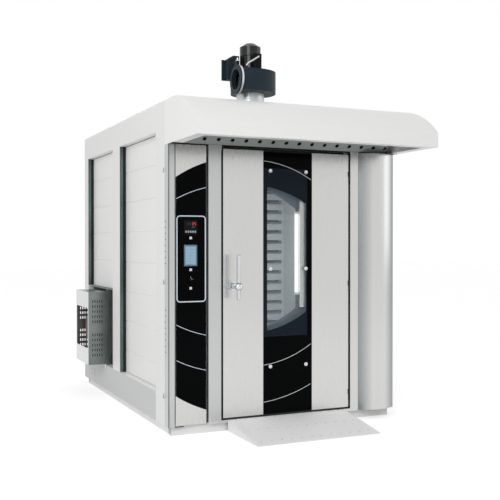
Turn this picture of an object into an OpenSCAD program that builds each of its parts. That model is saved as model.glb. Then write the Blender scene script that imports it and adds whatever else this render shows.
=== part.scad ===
// Rotating rack oven with a swing door, a curved steam hood and a roof exhaust blower.
// The origin is on the floor, on the axis of the rack rotor. +X is to the right seen from the
// front, +Y runs to the back and +Z is up. Depths are measured from the front plane.

/* [Body] */
// Overall width between the side claddings
body_w = 1800; // [1780:10:1900]
// Depth from the front plane to the back
body_d = 2450; // [2430:10:2700]
// Height of the cladding, from its lower edge to the roof
body_h = 2227; // [2215:5:2300]
// Height of the base frame under the cladding
base_h = 58; // [50:1:70]
// Set-back of the base frame behind the cladding
base_inset = 30; // [20:1:60]
// Width of the tubes of the base frame
base_tube = 60; // [40:1:70]
// Thickness of the folded sheets
sheet_t = 2; // [1.5:0.5:3]
// Running gap between a moving front and its neighbours
reveal = 4; // [3:0.5:5]

/* [Side claddings] */
// Depth of the corner posts behind the front plane
corner_d = 77; // [70:1:90]
// Depth of the front pillar of a side
front_pillar = 196; // [180:1:220]
// Depth of the front bay of a side
front_bay = 947; // [900:1:960]
// Depth of the middle pillar of a side
mid_pillar = 222; // [200:1:240]
// Depth of the rear pillar of a side
rear_pillar = 140; // [120:1:160]
// Height of the bottom rails
bottom_rail = 208; // [190:1:230]
// Height of the top rails
top_rail = 195; // [180:1:220]
// Diameter of a hole in the bottom rails
rail_hole_d = 12; // [8:1:16]
// Pitch of the four holes in the rear of a bottom rail
rail_hole_pitch = 38; // [30:1:45]
// Set-back of the bay panels behind the pillars
bay_recess = 52; // [40:1:60]
// Thickness of a bay panel
panel_t = 20; // [15:1:25]
// Height of the lowest bay panel
first_panel = 176; // [160:1:200]
// Height of the highest bay panel
top_panel = 214; // [200:1:230]
// Gap between two bay panels
panel_gap = 3; // [2:0.5:5]
// Number of seams between the bay panels
panel_seams = 7; // [6:1:7]
// Length of a cooling slot in the left corner post
vent_l = 22; // [16:1:30]
// Height of a cooling slot
vent_h = 7; // [5:1:10]
// Pitch of the cooling slots
vent_pitch = 41; // [36:1:44]
// Number of cooling slots in each of the two rows
vent_count = 8; // [5:1:8]
// Heights of the lowest slot of each row above the cladding's lower edge
vent_z = [505, 1111];
// Height and width of a hook on the left side
hook = 16; // [12:1:20]
// Heights of the lower and middle hooks above the cladding's lower edge
hook_z = [190, 970];
// Distance of the upper hook below the hood
hook_drop = 188; // [150:1:220]

/* [Hood] */
// Reach of the hood in front of the front plane
hood_reach = 562; // [500:1:620]
// Height of the hood, from its lower edge to the roof
hood_h = 302; // [290:1:310]
// Height of the hood's vertical front lip
hood_lip = 100; // [80:1:120]
// Depth of the flat top of the hood in front of the front plane
hood_flat = 88; // [60:1:120]
// Width of the inward flange along the hood's lower edge
hood_flange = 75; // [50:1:85]
// Diameter of a hole in the steam strip
strip_hole_d = 30; // [20:1:36]
// Pitch of the holes in the steam strip
strip_pitch = 104; // [90:1:104]
// Number of holes in the steam strip
strip_holes = 16; // [9:1:16]
// Length of the steam strip up its slope
strip_l = 110; // [100:1:120]
// Distance of the holes from the lower edge of the strip, along the slope
strip_hole_up = 45; // [40:1:55]
// Distance by which the row of holes is set to the right of the middle
strip_shift = 27; // [0:1:28]
// Height of the strip's lower edge above the door top
strip_rise = 35; // [30:1:40]

/* [Front] */
// Width of the front flange of the left corner post
corner_w = 46; // [40:1:60]
// Width of the control column
control_w = 229; // [210:1:240]
// Gap between the control column and the strike pillar
control_gap = 17; // [10:1:20]
// Width of the strike pillar
strike_w = 99; // [90:1:110]
// Width of the flat hinge strip right of the door
hinge_strip_w = 69; // [60:1:80]
// Bulge of the bowed right front panel
bow_rise = 50; // [30:1:60]
// Depth of the front columns and of the closed door
front_d = 68; // [60:1:70]

/* [Ramp] */
// Width of the ramp
ramp_w = 932; // [850:1:950]
// Length of the ramp's sloping plate
ramp_l = 500; // [450:1:560]
// Thickness of the ramp plate
ramp_t = 4; // [3:0.5:5]
// Height of the ramp's side flanges
ramp_flange = 26; // [20:1:30]
// Diameter of an anti-slip dimple
dimple_d = 12; // [8:1:16]
// Number of dimples in a row
dimple_count = 12; // [8:1:12]
// Number of rows of dimples
dimple_rows = 3; // [2:1:3]

/* [Chamber] */
// Inside width of the baking chamber
chamber_w = 1340; // [1300:10:1360]
// Inside depth of the baking chamber
chamber_d = 1272; // [1240:1:1290]
// Thickness of the chamber's walls
wall_t = 60; // [50:1:65]
// Height of the chamber floor above the cladding's lower edge
sill_rise = 20; // [15:1:30]
// Clear width of the doorway
doorway_w = 900; // [860:5:920]
// Overlap of the door over the top of the doorway
doorway_lap = 28; // [24:1:36]
// Height of the chamber ceiling above the doorway
ceiling_rise = 30; // [20:1:35]
// Thickness of the floor plate
floor_t = 3; // [2:0.5:4]
// Width of an air slot of the supply louvre
louvre_slot = 14; // [10:1:18]
// Pitch of the louvre blades
louvre_pitch = 90; // [80:1:110]
// Width of the supply louvre and of the return grille
louvre_w = 190; // [150:1:200]

/* [Door] */
// Gap between the door's bottom edge and the chamber floor
door_lift = 15; // [10:1:20]
// Distance of the door's top edge below the hood's lower edge
door_under = 25; // [20:1:30]
// Width of the door
door_w = 1005; // [990:1:1010]
// Gap on the latch side of the door
latch_gap = 10; // [6:1:12]
// Gap on the hinge side of the door
hinge_gap = 18; // [16:1:20]
// Width of the left steel panel of the door
door_left_w = 307; // [280:1:320]
// Width of the right steel panel of the door
door_right_w = 306; // [280:1:320]
// Thickness of the outer glass
glass_t = 6; // [4:1:8]
// Height of the window's lower edge above the door's bottom edge
window_z = 537; // [400:1:600]
// Distance of the window's upper edge below the door's top edge
window_drop = 98; // [90:1:150]
// Overlap of the door's core behind the outer glass
window_lap = 14; // [10:1:30]
// Diameter of a button that holds the outer glass
stud_d = 28; // [20:1:34]
// Height of a button in front of the glass
stud_h = 8; // [5:1:12]
// Distance of the glass buttons from the edges of the glass
stud_inset = 52; // [40:1:70]
// Heights of the lower and middle glass buttons above the door's bottom edge
stud_z = [339, 1034];
// Distance of the upper glass buttons below the door's top edge
stud_drop = 133; // [110:1:160]
// Distance of the door lamp's axis from the window's right edge
lamp_in = 95; // [80:1:110]
// Distance of the lamp housing's lower end above the window's lower edge
lamp_case_up = 216; // [150:1:260]
// Diameter of the door lamp's tube
lamp_d = 22; // [16:1:26]
// Length of the door lamp
lamp_l = 566; // [450:1:650]
// Height of the lamp's lower end above the window's lower edge
lamp_up = 325; // [200:1:400]
// Width of the door seal
seal_w = 24; // [16:1:30]
// Depth of the door seal
seal_t = 5; // [4:0.5:6]

/* [Hinges and latch] */
// Diameter of the hinge pins
pin_d = 12; // [10:1:12]
// Running clearance around the pins and the spindle
pin_play = 0.05; // [0.02:0.01:0.1]
// Heights of the lower and middle hinges above the door's bottom edge
hinge_z = [90, 900];
// Distance of the upper hinge below the door's top edge
hinge_drop = 155; // [120:1:200]
// Height of a hinge bracket or knuckle
knuckle_h = 40; // [30:1:60]
// Distance of the handle spindle from the door's latch edge
spindle_in = 71; // [60:1:90]
// Height of the handle spindle above the door's bottom edge
spindle_z = 919; // [850:1:1000]
// Diameter of the handle spindle
spindle_d = 20; // [16:1:24]
// Distance of the handle bar's axis in front of the door
handle_out = 108; // [90:1:120]
// Diameter of the handle bar
handle_d = 28; // [22:1:34]
// Length of the handle bar above the spindle
handle_up = 219; // [180:1:240]
// Length of the handle bar below the spindle
handle_down = 93; // [70:1:110]
// Diameter of the handle's hub
hub_d = 48; // [40:1:56]
// Diameter of the rosette behind the handle
rosette_d = 62; // [54:1:70]
// Thickness of the rosette
rosette_t = 12; // [8:1:16]
// Reach of the latch tongue from the spindle's axis
tongue_l = 100; // [96:1:110]
// Width of the latch tongue
tongue_w = 22; // [16:1:28]
// Thickness of the latch tongue
tongue_t = 8; // [6:1:10]
// Depth of the latch tongue behind the front plane
tongue_y = 34; // [30:1:38]
// Depth of the keeper behind the slot in the strike pillar
keeper_d = 40; // [36:1:50]

/* [Controls] */
// Radius of the arcs that end the black control glass
arc_r = 897; // [880:1:910]
// Distance of the arcs' centre right of the column
arc_in = 280; // [260:1:300]
// Height of the arcs' centre above the cladding's lower edge
arc_z = 957; // [900:1:980]
// Thickness of the black control glass
control_glass_t = 4; // [3:0.5:6]
// Distance of the controls' middle from the hinged edge of the column
controls_x = 113; // [105:1:118]
// Width of the square digital controller
controller_w = 96; // [72:1:100]
// Height of the controller's middle above the cladding's lower edge
controller_z = 1360; // [1355:1:1375]
// Width of the touch display
display_w = 94; // [80:1:110]
// Height of the touch display
display_h = 145; // [110:1:150]
// Height of the display's lower edge above the cladding's lower edge
display_z = 1096; // [1090:1:1100]
// Width of a square push button
key_w = 17; // [14:1:20]
// Travel of a push button
key_travel = 3; // [2:0.5:4]
// Heights of the push buttons above the cladding's lower edge
key_z = [945, 1071, 1288];
// Diameter of the rotary selector
selector_d = 24; // [18:1:26]
// Height of the selector above the cladding's lower edge
selector_z = 1006; // [1000:1:1012]
// Height of the control housing behind the column
control_box_h = 560; // [540:5:700]

/* [Burner side] */
// Distance of the burner behind the middle of the heating compartment
burner_shift = 10; // [0:1:20]
// Length of the burner shroud along the side
shroud_l = 461; // [420:1:480]
// Width by which the shroud stands out of the side
shroud_out = 154; // [120:1:180]
// Height of the shroud's lower edge above the bottom rail
shroud_z = 9; // [5:1:20]
// Height of the shroud
shroud_h = 620; // [600:1:640]
// Rows and columns of slots in each of the two groups
shroud_slots = 5; // [3:1:5]
// Height of the rectangular cut-out in the shroud
shroud_cut_h = 344; // [300:1:380]
// Height of the cut-out's lower edge above the shroud's lower edge
shroud_cut_z = 139; // [120:1:160]
// Rows of bay panels left open behind the shroud
niche_rows = 3; // [3:1:3]
// Outer diameter of the combustion chamber
fire_d = 380; // [300:5:400]
// Distance of the heat exchanger from the side walls of its compartment
exchanger_in = 200; // [180:5:230]
// Share of the compartment's depth that the heat exchanger takes
exchanger_share = 0.49; // [0.4:0.01:0.55]
// Height of a header of the heat exchanger
header_h = 80; // [60:5:100]
// Distance of the upper header's lower face below the ceiling
header_drop = 525; // [500:5:600]
// Distance of the lower header above the combustion chamber
header_gap = 40; // [30:5:60]
// Pitch of the trays of the steam generator
tray_pitch = 130; // [120:5:140]
// Depth of the steam generator
steamer_d = 400; // [300:10:420]
// Outer diameter of a heat exchanger tube
tube_d = 60; // [50:1:70]
// Number of heat exchanger tubes across the oven
tube_columns = 6; // [4:1:7]
// Number of heat exchanger tubes front to back
tube_rows = 4; // [2:1:4]
// Diameter of the flue spigot
flue_d = 150; // [120:5:180]
// Height of the flue spigot above the roof
flue_rise = 150; // [100:5:200]

/* [Fans] */
// Distance of the exhaust blower's axis left of the middle
blower_left = 145; // [120:1:170]
// Distance of the exhaust blower's axis behind the front plane
blower_back = 330; // [300:1:350]
// Diameter of the blower's collar and of the flange at its outlet
duct_d = 208; // [200:1:220]
// Outer diameter of the blower's outlet tube
outlet_d = 150; // [130:1:154]
// Length of the outlet tube beyond the scroll
outlet_l = 32; // [28:1:60]
// Height of the collar above the roof
collar_h = 134; // [120:1:150]
// Height of the blower's scroll housing
scroll_h = 158; // [155:1:180]
// Radius of the scroll housing at its tongue
scroll_r = 140; // [136:1:150]
// Growth of the scroll's radius from its tongue to its outlet
scroll_growth = 65; // [55:1:75]
// Diameter of the exhaust impeller
impeller_d = 230; // [200:1:240]
// Diameter of the blower's motor
motor_d = 154; // [140:1:160]
// Height of the finned body of the blower's motor
motor_h = 127; // [120:1:140]
// Height of the motor's fan cowl
cowl_h = 90; // [70:1:100]
// Width of the motor's terminal box
box_w = 60; // [50:1:70]
// Depth of the terminal box
box_d = 44; // [36:1:50]
// Height of the terminal box
box_h = 106; // [90:1:110]
// Height of the bracket beside the motor
bracket_h = 180; // [150:1:190]
// Depth of the bracket
bracket_d = 60; // [50:1:70]
// Number of fins around the motor
motor_fins = 16; // [12:1:24]
// Diameter of the motor lead
lead_d = 11; // [9:0.5:12]
// Diameter of the circulation impeller
fan_d = 420; // [360:5:440]
// Height of the circulation impeller
fan_h = 120; // [100:1:130]
// Number of blades on each impeller
blade_count = 12; // [8:1:16]

/* [Rotor] */
// Width of the rotor's gearbox
gearbox_w = 150; // [140:1:170]
// Height of the rotor's gearbox
gearbox_h = 130; // [124:1:150]
// Diameter of the rotor's drive motor
drive_d = 116; // [100:1:118]
// Length of the rotor's drive motor
drive_l = 185; // [160:1:220]
// Length of a lifting hook's foot
hook_foot = 60; // [40:1:70]
// Diameter of the rotor shaft
rotor_d = 50; // [40:1:60]
// Length of the lifting cross
cross_l = 560; // [480:5:640]
// Height of the lifting cross's bars
cross_h = 40; // [30:1:50]
// Distance of the lifting cross below the ceiling
cross_drop = 60; // [60:1:90]
// Diameter of the steam damper's blade
damper_d = 120; // [90:1:130]

/* [Hidden] */
$fn = 48;
cut = 1;
fit_gap = 0.3;

half_w = body_w / 2;
clad_z = base_h;
sill_z = clad_z + sill_rise;
roof_z = clad_z + body_h;
hood_low = roof_z - hood_h;
door_z = sill_z + door_lift;
door_top = hood_low - door_under;
strip_z = door_top + strip_rise;

// places along the front, from left to right
corner_x = corner_w - half_w;
control_x = corner_x + control_w;
strike_x = control_x + control_gap;
strike_end = strike_x + strike_w;
door_x = strike_end + latch_gap;
door_end = door_x + door_w;
hinge_x = door_end + hinge_gap;
bow_x = hinge_x + hinge_strip_w;

// depths behind the front plane
jamb_y = front_d + seal_t;
chamber_y = jamb_y + wall_t;
chamber_end = chamber_y + chamber_d;
rear_wall_end = chamber_end + wall_t;
rotor_back = chamber_y + chamber_d / 2;
bay_y = corner_d + front_pillar;
mid_y = bay_y + front_bay;
rear_bay_y = mid_y + mid_pillar;
rear_bay_end = body_d - rear_pillar;
rear_skin_y = body_d - bay_recess - panel_t;

// heights
bay_z = clad_z + bottom_rail;
bay_top = roof_z - top_rail;
panel_pitch = (bay_top - bay_z - first_panel - top_panel) / (panel_seams - 1);
doorway_top = door_top - doorway_lap;
ceiling_z = doorway_top + ceiling_rise;
ceiling_top = ceiling_z + wall_t;
lintel_z = strip_z - 3;
lintel_h = 60;
roof_low = roof_z - sheet_t;

// the chamber and the compartment behind it
chamber_x = chamber_w / 2;
shell_x = chamber_x + wall_t;
panel_x = half_w - bay_recess - panel_t;
doorway_mid = (door_x + door_end) / 2;
heat_wall_t = 12;
heat_end = rear_skin_y - 90;
heat_mid_y = (rear_wall_end + heat_end) / 2;

// the door's own places
glass_x = door_x + door_left_w;
glass_end = door_end - door_right_w;
window_low = door_z + window_z;
window_top = door_top - window_drop;
spindle_x = door_x + spindle_in;
spindle_height = door_z + spindle_z;
hinge_axis_x = door_end + hinge_gap / 2;
hinge_places = [door_z + hinge_z[0], door_z + hinge_z[1], door_top - hinge_drop];
pin_r = pin_d / 2;
bore_r = pin_r + pin_play;

// the control column
column_gap = 6;
column_x = corner_x + column_gap;
bracket_t = 6;
column_low = clad_z + bracket_t + 2;
column_top = lintel_z - bracket_t - 2;
column_pin_in = 8;
column_pin_x = column_x + column_pin_in;
column_pin_r = 4;
column_depth = 20;
selector_shaft_r = 5;
housing_low = clad_z + controller_z - 540;
housing_d = 36;
controls_mid = corner_x + controls_x;
arc_x = control_x + arc_in;
arc_mid_z = clad_z + arc_z;

// the burner side
niche_top = bay_z + first_panel + (niche_rows - 1) * panel_pitch;
burner_y = heat_mid_y + burner_shift;
shroud_y = burner_y - shroud_l / 2;
shroud_end = burner_y + shroud_l / 2;
shroud_low = bay_z + shroud_z;
shroud_top = shroud_low + shroud_h;
shroud_x = half_w + shroud_out;
burner_z = shroud_low + shroud_h / 2;
blast_d = 120;

// the roof blower
blower_x = -blower_left;
scroll_z = roof_z + collar_h;
scroll_top = scroll_z + scroll_h;
outlet_y = outlet_d / 2 + 8 - scroll_r - scroll_growth;
box_in = motor_d / 2 + 1 + fit_gap;
shaft_r = 12;

// the hood's curve runs from the top of its lip to the flat roof
hood_run = hood_reach - hood_flat;
hood_drop = roof_z - hood_low - hood_lip;
hood_r = (hood_run * hood_run + hood_drop * hood_drop) / (2 * hood_drop);

// the heating and the ducts
exchanger_x = shell_x - exchanger_in;
header_low = burner_z + fire_d / 2 + header_gap;
header_high = ceiling_z - header_drop;
flue_x = 110 - exchanger_x;
damper_x = chamber_x - 180;
damper_y = chamber_y + 200;

// the ramp's angle follows from its length and the height of the sill
ramp_angle = asin((sill_z - ramp_t) / ramp_l);

// ---------- helpers ----------

// Places a piece that is measured from the front plane.
module from_front() {
  translate([0, -rotor_back, 0]) children();
}

// A block between two opposite corners.
module block(from, to) {
  translate(from) cube(to - from);
}

// A sheet channel that stands upright, open towards +X.
module post(from, to, wall = sheet_t) {
  difference() {
    block(from, to);
    block([from.x + wall, from.y + wall, from.z - cut], [to.x + cut, to.y - wall, to.z + cut]);
  }
}

// A sheet channel that lies along Y, open towards +X.
module rail(from, to, wall = sheet_t) {
  difference() {
    block(from, to);
    block([from.x + wall, from.y - cut, from.z + wall], [to.x + cut, to.y + cut, to.z - wall]);
  }
}

// A folded sheet post that stands upright, closed at the front and open at the back.
module front_post(from, to, wall = sheet_t) {
  difference() {
    block(from, to);
    block([from.x + wall, from.y + wall, from.z - cut], [to.x - wall, to.y + cut, to.z + cut]);
  }
}

// A rod along Y from one depth to another.
module rod_y(x, z, from, to, r) {
  translate([x, from, z]) rotate([-90, 0, 0]) cylinder(h = to - from, r = r);
}

// A rod along X from one place to another.
module rod_x(y, z, from, to, r) {
  translate([from, y, z]) rotate([0, 90, 0]) cylinder(h = to - from, r = r);
}

// An upright rod.
module rod_z(x, y, from, to, r) {
  translate([x, y, from]) cylinder(h = to - from, r = r);
}

// ---------- base and floor ----------

module base_frame() {
  left = base_inset - half_w;
  right = half_w - base_inset;
  front = base_inset;
  back = body_d - base_inset;
  cross = rear_wall_end;
  color("dimgray") from_front() {
    base_tube_x([left, front], right - left);
    base_tube_x([left, back - base_tube], right - left);
    base_tube_x([left + base_tube + fit_gap, cross], right - left - 2 * (base_tube + fit_gap));
    for (x = [left, right - base_tube]) {
      base_tube_y([x, front + base_tube + fit_gap], back - front - 2 * (base_tube + fit_gap));
    }
  }
}

module base_tube_x(at, length) {
  difference() {
    translate([at.x, at.y, 0]) cube([length, base_tube, base_h]);
    translate([at.x - cut, at.y + 3, 3]) cube([length + 2 * cut, base_tube - 6, base_h - 6]);
  }
}

module base_tube_y(at, length) {
  difference() {
    translate([at.x, at.y, 0]) cube([base_tube, length, base_h]);
    translate([at.x + 3, at.y - cut, 3]) cube([base_tube - 6, length + 2 * cut, base_h - 6]);
  }
}

module floor_slab() {
  front = base_inset + base_tube;
  color("lightgray") from_front() {
    block([-shell_x, front, 0], [shell_x, rear_wall_end, sill_z - floor_t]);
  }
}

module floor_plate() {
  front = base_inset + base_tube;
  color("silver") from_front() {
    block([-shell_x, jamb_y, sill_z - floor_t], [shell_x, rear_wall_end, sill_z]);
    block([strike_x, 0, sill_z - floor_t], [bow_x, jamb_y, sill_z]);
    // the sill's folded nose, and the bar under it that stands on the base frame
    block([strike_x, 0, base_h], [bow_x, floor_t, sill_z - floor_t]);
    block([strike_x, base_inset, base_h], [bow_x, front, sill_z - floor_t]);
  }
}

module ramp() {
  side = [[0, 0], [-ramp_l * cos(ramp_angle), -ramp_l * sin(ramp_angle)], [0, -ramp_l * sin(ramp_angle)]];
  color("gainsboro") from_front() translate([doorway_mid, -fit_gap, sill_z - ramp_t]) {
    difference() {
      rotate([ramp_angle, 0, 0]) translate([-ramp_w / 2, -ramp_l, 0]) {
        cube([ramp_w, ramp_l, ramp_t]);
        ramp_dimples();
      }
      // cut flat where the plate meets the sill and the floor
      block([-ramp_w, 0, -ramp_l], [ramp_w, ramp_l, ramp_l]);
      block([-ramp_w, -2 * ramp_l, -2 * sill_z], [ramp_w, ramp_l, ramp_t - sill_z]);
    }
    for (x = [-ramp_w / 2, ramp_w / 2 - ramp_t]) {
      translate([x, 0, 0]) ramp_side(side);
    }
    // the hooked edge that hangs on the sill
    block([-ramp_w / 2, -ramp_t, -ramp_flange], [ramp_w / 2, 0, 0]);
  }
}

module ramp_side(side) {
  intersection() {
    rotate([90, 0, 90]) linear_extrude(ramp_t) polygon(side);
    block([-cut, -ramp_l, ramp_t - sill_z], [ramp_t + cut, 0, ramp_t]);
  }
}

module ramp_dimples() {
  across = ramp_w / (dimple_count + 0.5);
  for (row = [0:dimple_rows - 1], column = [0:dimple_count - 1]) {
    x = across * (column + 0.75);
    y = ramp_l * (0.97 - 0.42 * row);
    translate([x, y, ramp_t]) cylinder(h = 1.5, d1 = dimple_d, d2 = dimple_d / 2);
  }
}

// ---------- outer cladding ----------

// One side's pillars and rails, drawn for the left side.
module side_frame() {
  x = -half_w;
  inner = bay_recess - half_w;
  low = bay_z + fit_gap;
  high = bay_top - fit_gap;
  post([x, corner_d, low], [inner, bay_y, high]);
  post([x, mid_y, low], [inner, rear_bay_y, high]);
  post([x, rear_bay_end, low], [inner, body_d, high]);
  difference() {
    rail([x, corner_d, clad_z], [inner, body_d, bay_z]);
    rail_holes(x);
  }
  rail([x, corner_d, bay_top], [inner, body_d, roof_low]);
}

// Four holes for the feed lines, in the rear end of a bottom rail.
module rail_holes(x) {
  for (y = [0, 1], z = [0, 1]) {
    depth = shroud_end - sheet_t - y * rail_hole_pitch;
    height = clad_z + bottom_rail / 2 + (z - 0.5) * rail_hole_pitch - fit_gap;
    rod_x(depth, height, x - cut, x + sheet_t + cut, rail_hole_d / 2);
  }
}

module side_frames() {
  color("whitesmoke") from_front() {
    side_frame();
    mirror([1, 0, 0]) side_frame();
  }
}

module rear_frame() {
  inner = half_w - bay_recess;
  depth = [body_d - bay_recess, body_d];
  color("whitesmoke") from_front() {
    block([-inner, depth[0], clad_z], [inner, depth[1], bay_z]);
    block([-inner, depth[0], bay_top], [inner, depth[1], roof_low]);
    block([-rear_pillar / 2, depth[0], bay_z + fit_gap], [rear_pillar / 2, depth[1], bay_top - fit_gap]);
    for (side = [-1, 1]) {
      x = side * (inner - rear_pillar / 2);
      block([x - rear_pillar / 2, depth[0], bay_z + fit_gap],
         [x + rear_pillar / 2, depth[1], bay_top - fit_gap]);
    }
  }
}

// Lower and upper edge of each row of bay panels.
function row_edges() = concat(
  [bay_z],
  [for (n = [0:panel_seams - 1]) bay_z + first_panel + n * panel_pitch],
  [bay_top]
);

// A stack of panels that face -X, on the plane x = 0, from one depth to another.
module panel_stack(from, to, first_row = 0) {
  edges = row_edges();
  bevel = 4;
  for (n = [first_row:len(edges) - 2]) {
    low = edges[n] + panel_gap / 2;
    high = edges[n + 1] - panel_gap / 2;
    profile = [
      [panel_t, low], [panel_t, high], [bevel, high],
      [0, high - bevel], [0, low + bevel], [bevel, low],
    ];
    translate([0, to, 0]) rotate([90, 0, 0]) linear_extrude(to - from) polygon(profile);
  }
}

module wall_panels() {
  lap = 12;
  x = bay_recess - half_w;
  color("white") from_front() {
    translate([x, 0, 0]) {
      panel_stack(bay_y - lap, mid_y + lap);
      panel_stack(rear_bay_y - lap, rear_bay_end + lap, niche_rows);
    }
    mirror([1, 0, 0]) translate([x, 0, 0]) {
      panel_stack(bay_y - lap, mid_y + lap);
      panel_stack(rear_bay_y - lap, rear_bay_end + lap);
    }
    for (side = [0, 1]) {
      mirror([side, 0, 0]) translate([0, body_d - bay_recess, 0]) {
        rotate([0, 0, -90]) panel_stack(rear_pillar / 2 - lap, -x - rear_pillar + lap);
      }
    }
  }
}

module left_corner_post() {
  vent_back = corner_d - 5;
  color("whitesmoke") from_front() {
    difference() {
      union() {
        block([-half_w, 0, clad_z], [corner_x, sheet_t, hood_low]);
        block([-half_w, sheet_t, clad_z], [sheet_t - half_w, corner_d, hood_low]);
      }
      for (low = vent_z, n = [0:vent_count - 1]) {
        z = clad_z + low + n * vent_pitch;
        block([-half_w - cut, vent_back - vent_l, z], [sheet_t - half_w + cut, vent_back, z + vent_h]);
      }
    }
    for (z = [clad_z + hook_z[0], clad_z + hook_z[1], hood_low - hook_drop]) {
      translate([-half_w, corner_d + hook / 2, z]) side_hook();
    }
  }
}

// An upturned hook on the side, on the plane x = 0.
module side_hook() {
  thick = hook / 4;
  block([-thick, 0, 0], [0, hook, hook]);
  block([-2 * thick, 0, 0], [-thick, thick, 2 * hook]);
}

module roof_sheets() {
  seam = 8;
  front = -hood_flat;
  length = (body_d - front) / 3;
  color("whitesmoke") from_front() difference() {
    union() {
      for (n = [0:2]) {
        y = front + n * length;
        block([-half_w, y, roof_low], [half_w, y + length - seam, roof_z]);
      }
      for (n = [1:2]) {
        y = front + n * length - seam;
        block([-half_w, y, roof_low], [half_w, y + seam, roof_z + seam]);
      }
    }
    rod_z(blower_x, blower_back, roof_low - cut, roof_z + cut, duct_d / 2 + fit_gap);
    rod_z(flue_x, burner_y, roof_low - cut, roof_z + cut, flue_d / 2 + reveal);
    rod_z(0, heat_mid_y, roof_low - cut, roof_z + cut, fan_d / 4);
  }
}

// ---------- hood ----------

// The hood's outline seen from the side, with Y to the right and Z up.
module hood_outline(inset = 0) {
  crease = hood_low + hood_lip;
  intersection() {
    translate([-hood_flat, roof_z - hood_r]) circle(r = hood_r - inset, $fn = 96);
    translate([inset - hood_reach, crease]) square([hood_run - inset, hood_drop]);
  }
  translate([inset - hood_reach, hood_low]) square([hood_reach - hood_flat - inset, hood_lip]);
}

// Stands an outline in the YZ plane up and draws it along X.
module along_x(from, to) {
  translate([from, 0, 0]) rotate([90, 0, 90]) linear_extrude(to - from) children();
}

module hood_shell() {
  inner = half_w - sheet_t;
  color("whitesmoke") from_front() difference() {
    union() {
      along_x(-inner, inner) difference() {
        hood_outline();
        hood_outline(sheet_t);
        translate([-hood_flat - sheet_t, hood_low - cut]) square([sheet_t, hood_drop + hood_lip - sheet_t]);
      }
      block([-inner, -hood_reach, hood_low], [inner, hood_flange - hood_reach, hood_low + sheet_t]);
    }
    block([-inner - cut, hood_flange - hood_reach, hood_low - cut],
        [inner + cut, 0, hood_low + hood_lip / 2]);
  }
}

module hood_end_cap() {
  along_x(-half_w, sheet_t - half_w) {
    hood_outline();
    translate([-hood_flat, hood_low]) square([hood_flat + corner_d, roof_low - hood_low]);
  }
  // the inward flange along the cap's lower edge
  block([sheet_t - half_w, hood_flange - hood_reach, hood_low],
      [hood_flange - half_w, -hood_flat, hood_low + sheet_t]);
}

module hood_end_caps() {
  color("whitesmoke") from_front() {
    hood_end_cap();
    mirror([1, 0, 0]) hood_end_cap();
  }
}

module steam_strip() {
  inner = half_w - hood_flange;
  slope = strip_l / sqrt(2);
  color("silver") from_front() {
    translate([0, 0, strip_z]) rotate([45, 0, 0]) difference() {
      block([-inner, -sheet_t, 0], [inner, 0, strip_l]);
      for (n = [0:strip_holes - 1]) {
        x = (n - (strip_holes - 1) / 2) * strip_pitch + strip_shift;
        rod_y(x, strip_hole_up, -sheet_t - cut, cut, strip_hole_d / 2);
      }
    }
    // the riser between the strip and the roof
    block([-inner, -slope - sheet_t, strip_z + slope], [inner, -slope, roof_low]);
  }
}

module hood_duct() {
  w = duct_d + 40;
  slope = strip_l / sqrt(2);
  low = strip_z + slope + 30;
  back = blower_back + duct_d / 2 + 20;
  color("lightgray") from_front() difference() {
    block([blower_x - w / 2, -slope, low], [blower_x + w / 2, back, roof_low]);
    block([blower_x - w / 2 + sheet_t, -slope - cut, low + sheet_t],
       [blower_x + w / 2 - sheet_t, back - sheet_t, roof_low - sheet_t]);
    rod_z(blower_x, blower_back, roof_low - 2 * sheet_t, roof_low + cut, duct_d / 2 - sheet_t);
  }
}

// ---------- front ----------

module lintel_rail() {
  inner = half_w - bay_recess;
  color("silver") from_front() difference() {
    block([-inner, 0, lintel_z], [inner, jamb_y, lintel_z + lintel_h]);
    block([-inner - cut, 3, lintel_z + 3], [inner + cut, jamb_y - 3, lintel_z + lintel_h - 3]);
    rod_z(column_pin_x, column_pin_in, lintel_z - cut, lintel_z + 3 + cut, column_pin_r + 2);
  }
}

module strike_pillar() {
  z = [spindle_height - tongue_w, spindle_height + tongue_l];
  y = [tongue_y - 1, tongue_y + tongue_t + 1];
  inner = strike_end - sheet_t;
  keeper_wall = 6;
  color("silver") from_front() {
    difference() {
      front_post([strike_x, 0, sill_z], [strike_end, jamb_y, lintel_z]);
      block([inner - cut, y[0] - keeper_wall, z[0]], [strike_end + cut, y[1] + keeper_wall, z[1]]);
    }
    // the keeper behind the slot, with its lip in front of the tongue's place
    difference() {
      block([inner - keeper_d, y[0] - 3 * keeper_wall, z[0] - keeper_wall],
         [inner, y[1] + 3 * keeper_wall, z[1] + keeper_wall]);
      block([inner - keeper_d + keeper_wall, y[0], z[0]], [strike_end, y[1], z[1]]);
    }
  }
}

module hinge_strip() {
  color("silver") from_front() front_post([hinge_x, 0, sill_z], [bow_x, jamb_y, lintel_z]);
}

module bow_panel() {
  w = half_w - bow_x;
  r = (w * w / 4 + bow_rise * bow_rise) / (2 * bow_rise);
  low = clad_z + reveal;
  color("silver") from_front() translate([0, 0, low]) linear_extrude(hood_low - low) {
    difference() {
      intersection() {
        translate([bow_x + w / 2, r - bow_rise]) circle(r = r, $fn = 96);
        translate([bow_x, -bow_rise]) square([w, bow_rise]);
      }
      translate([bow_x + w / 2, r - bow_rise]) circle(r = r - sheet_t, $fn = 96);
    }
    // the flanges that fold back from both edges of the bow
    translate([bow_x, 0]) square([sheet_t, jamb_y]);
    translate([half_w - sheet_t, 0]) square([sheet_t, corner_d]);
  }
}

// ---------- chamber ----------

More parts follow.
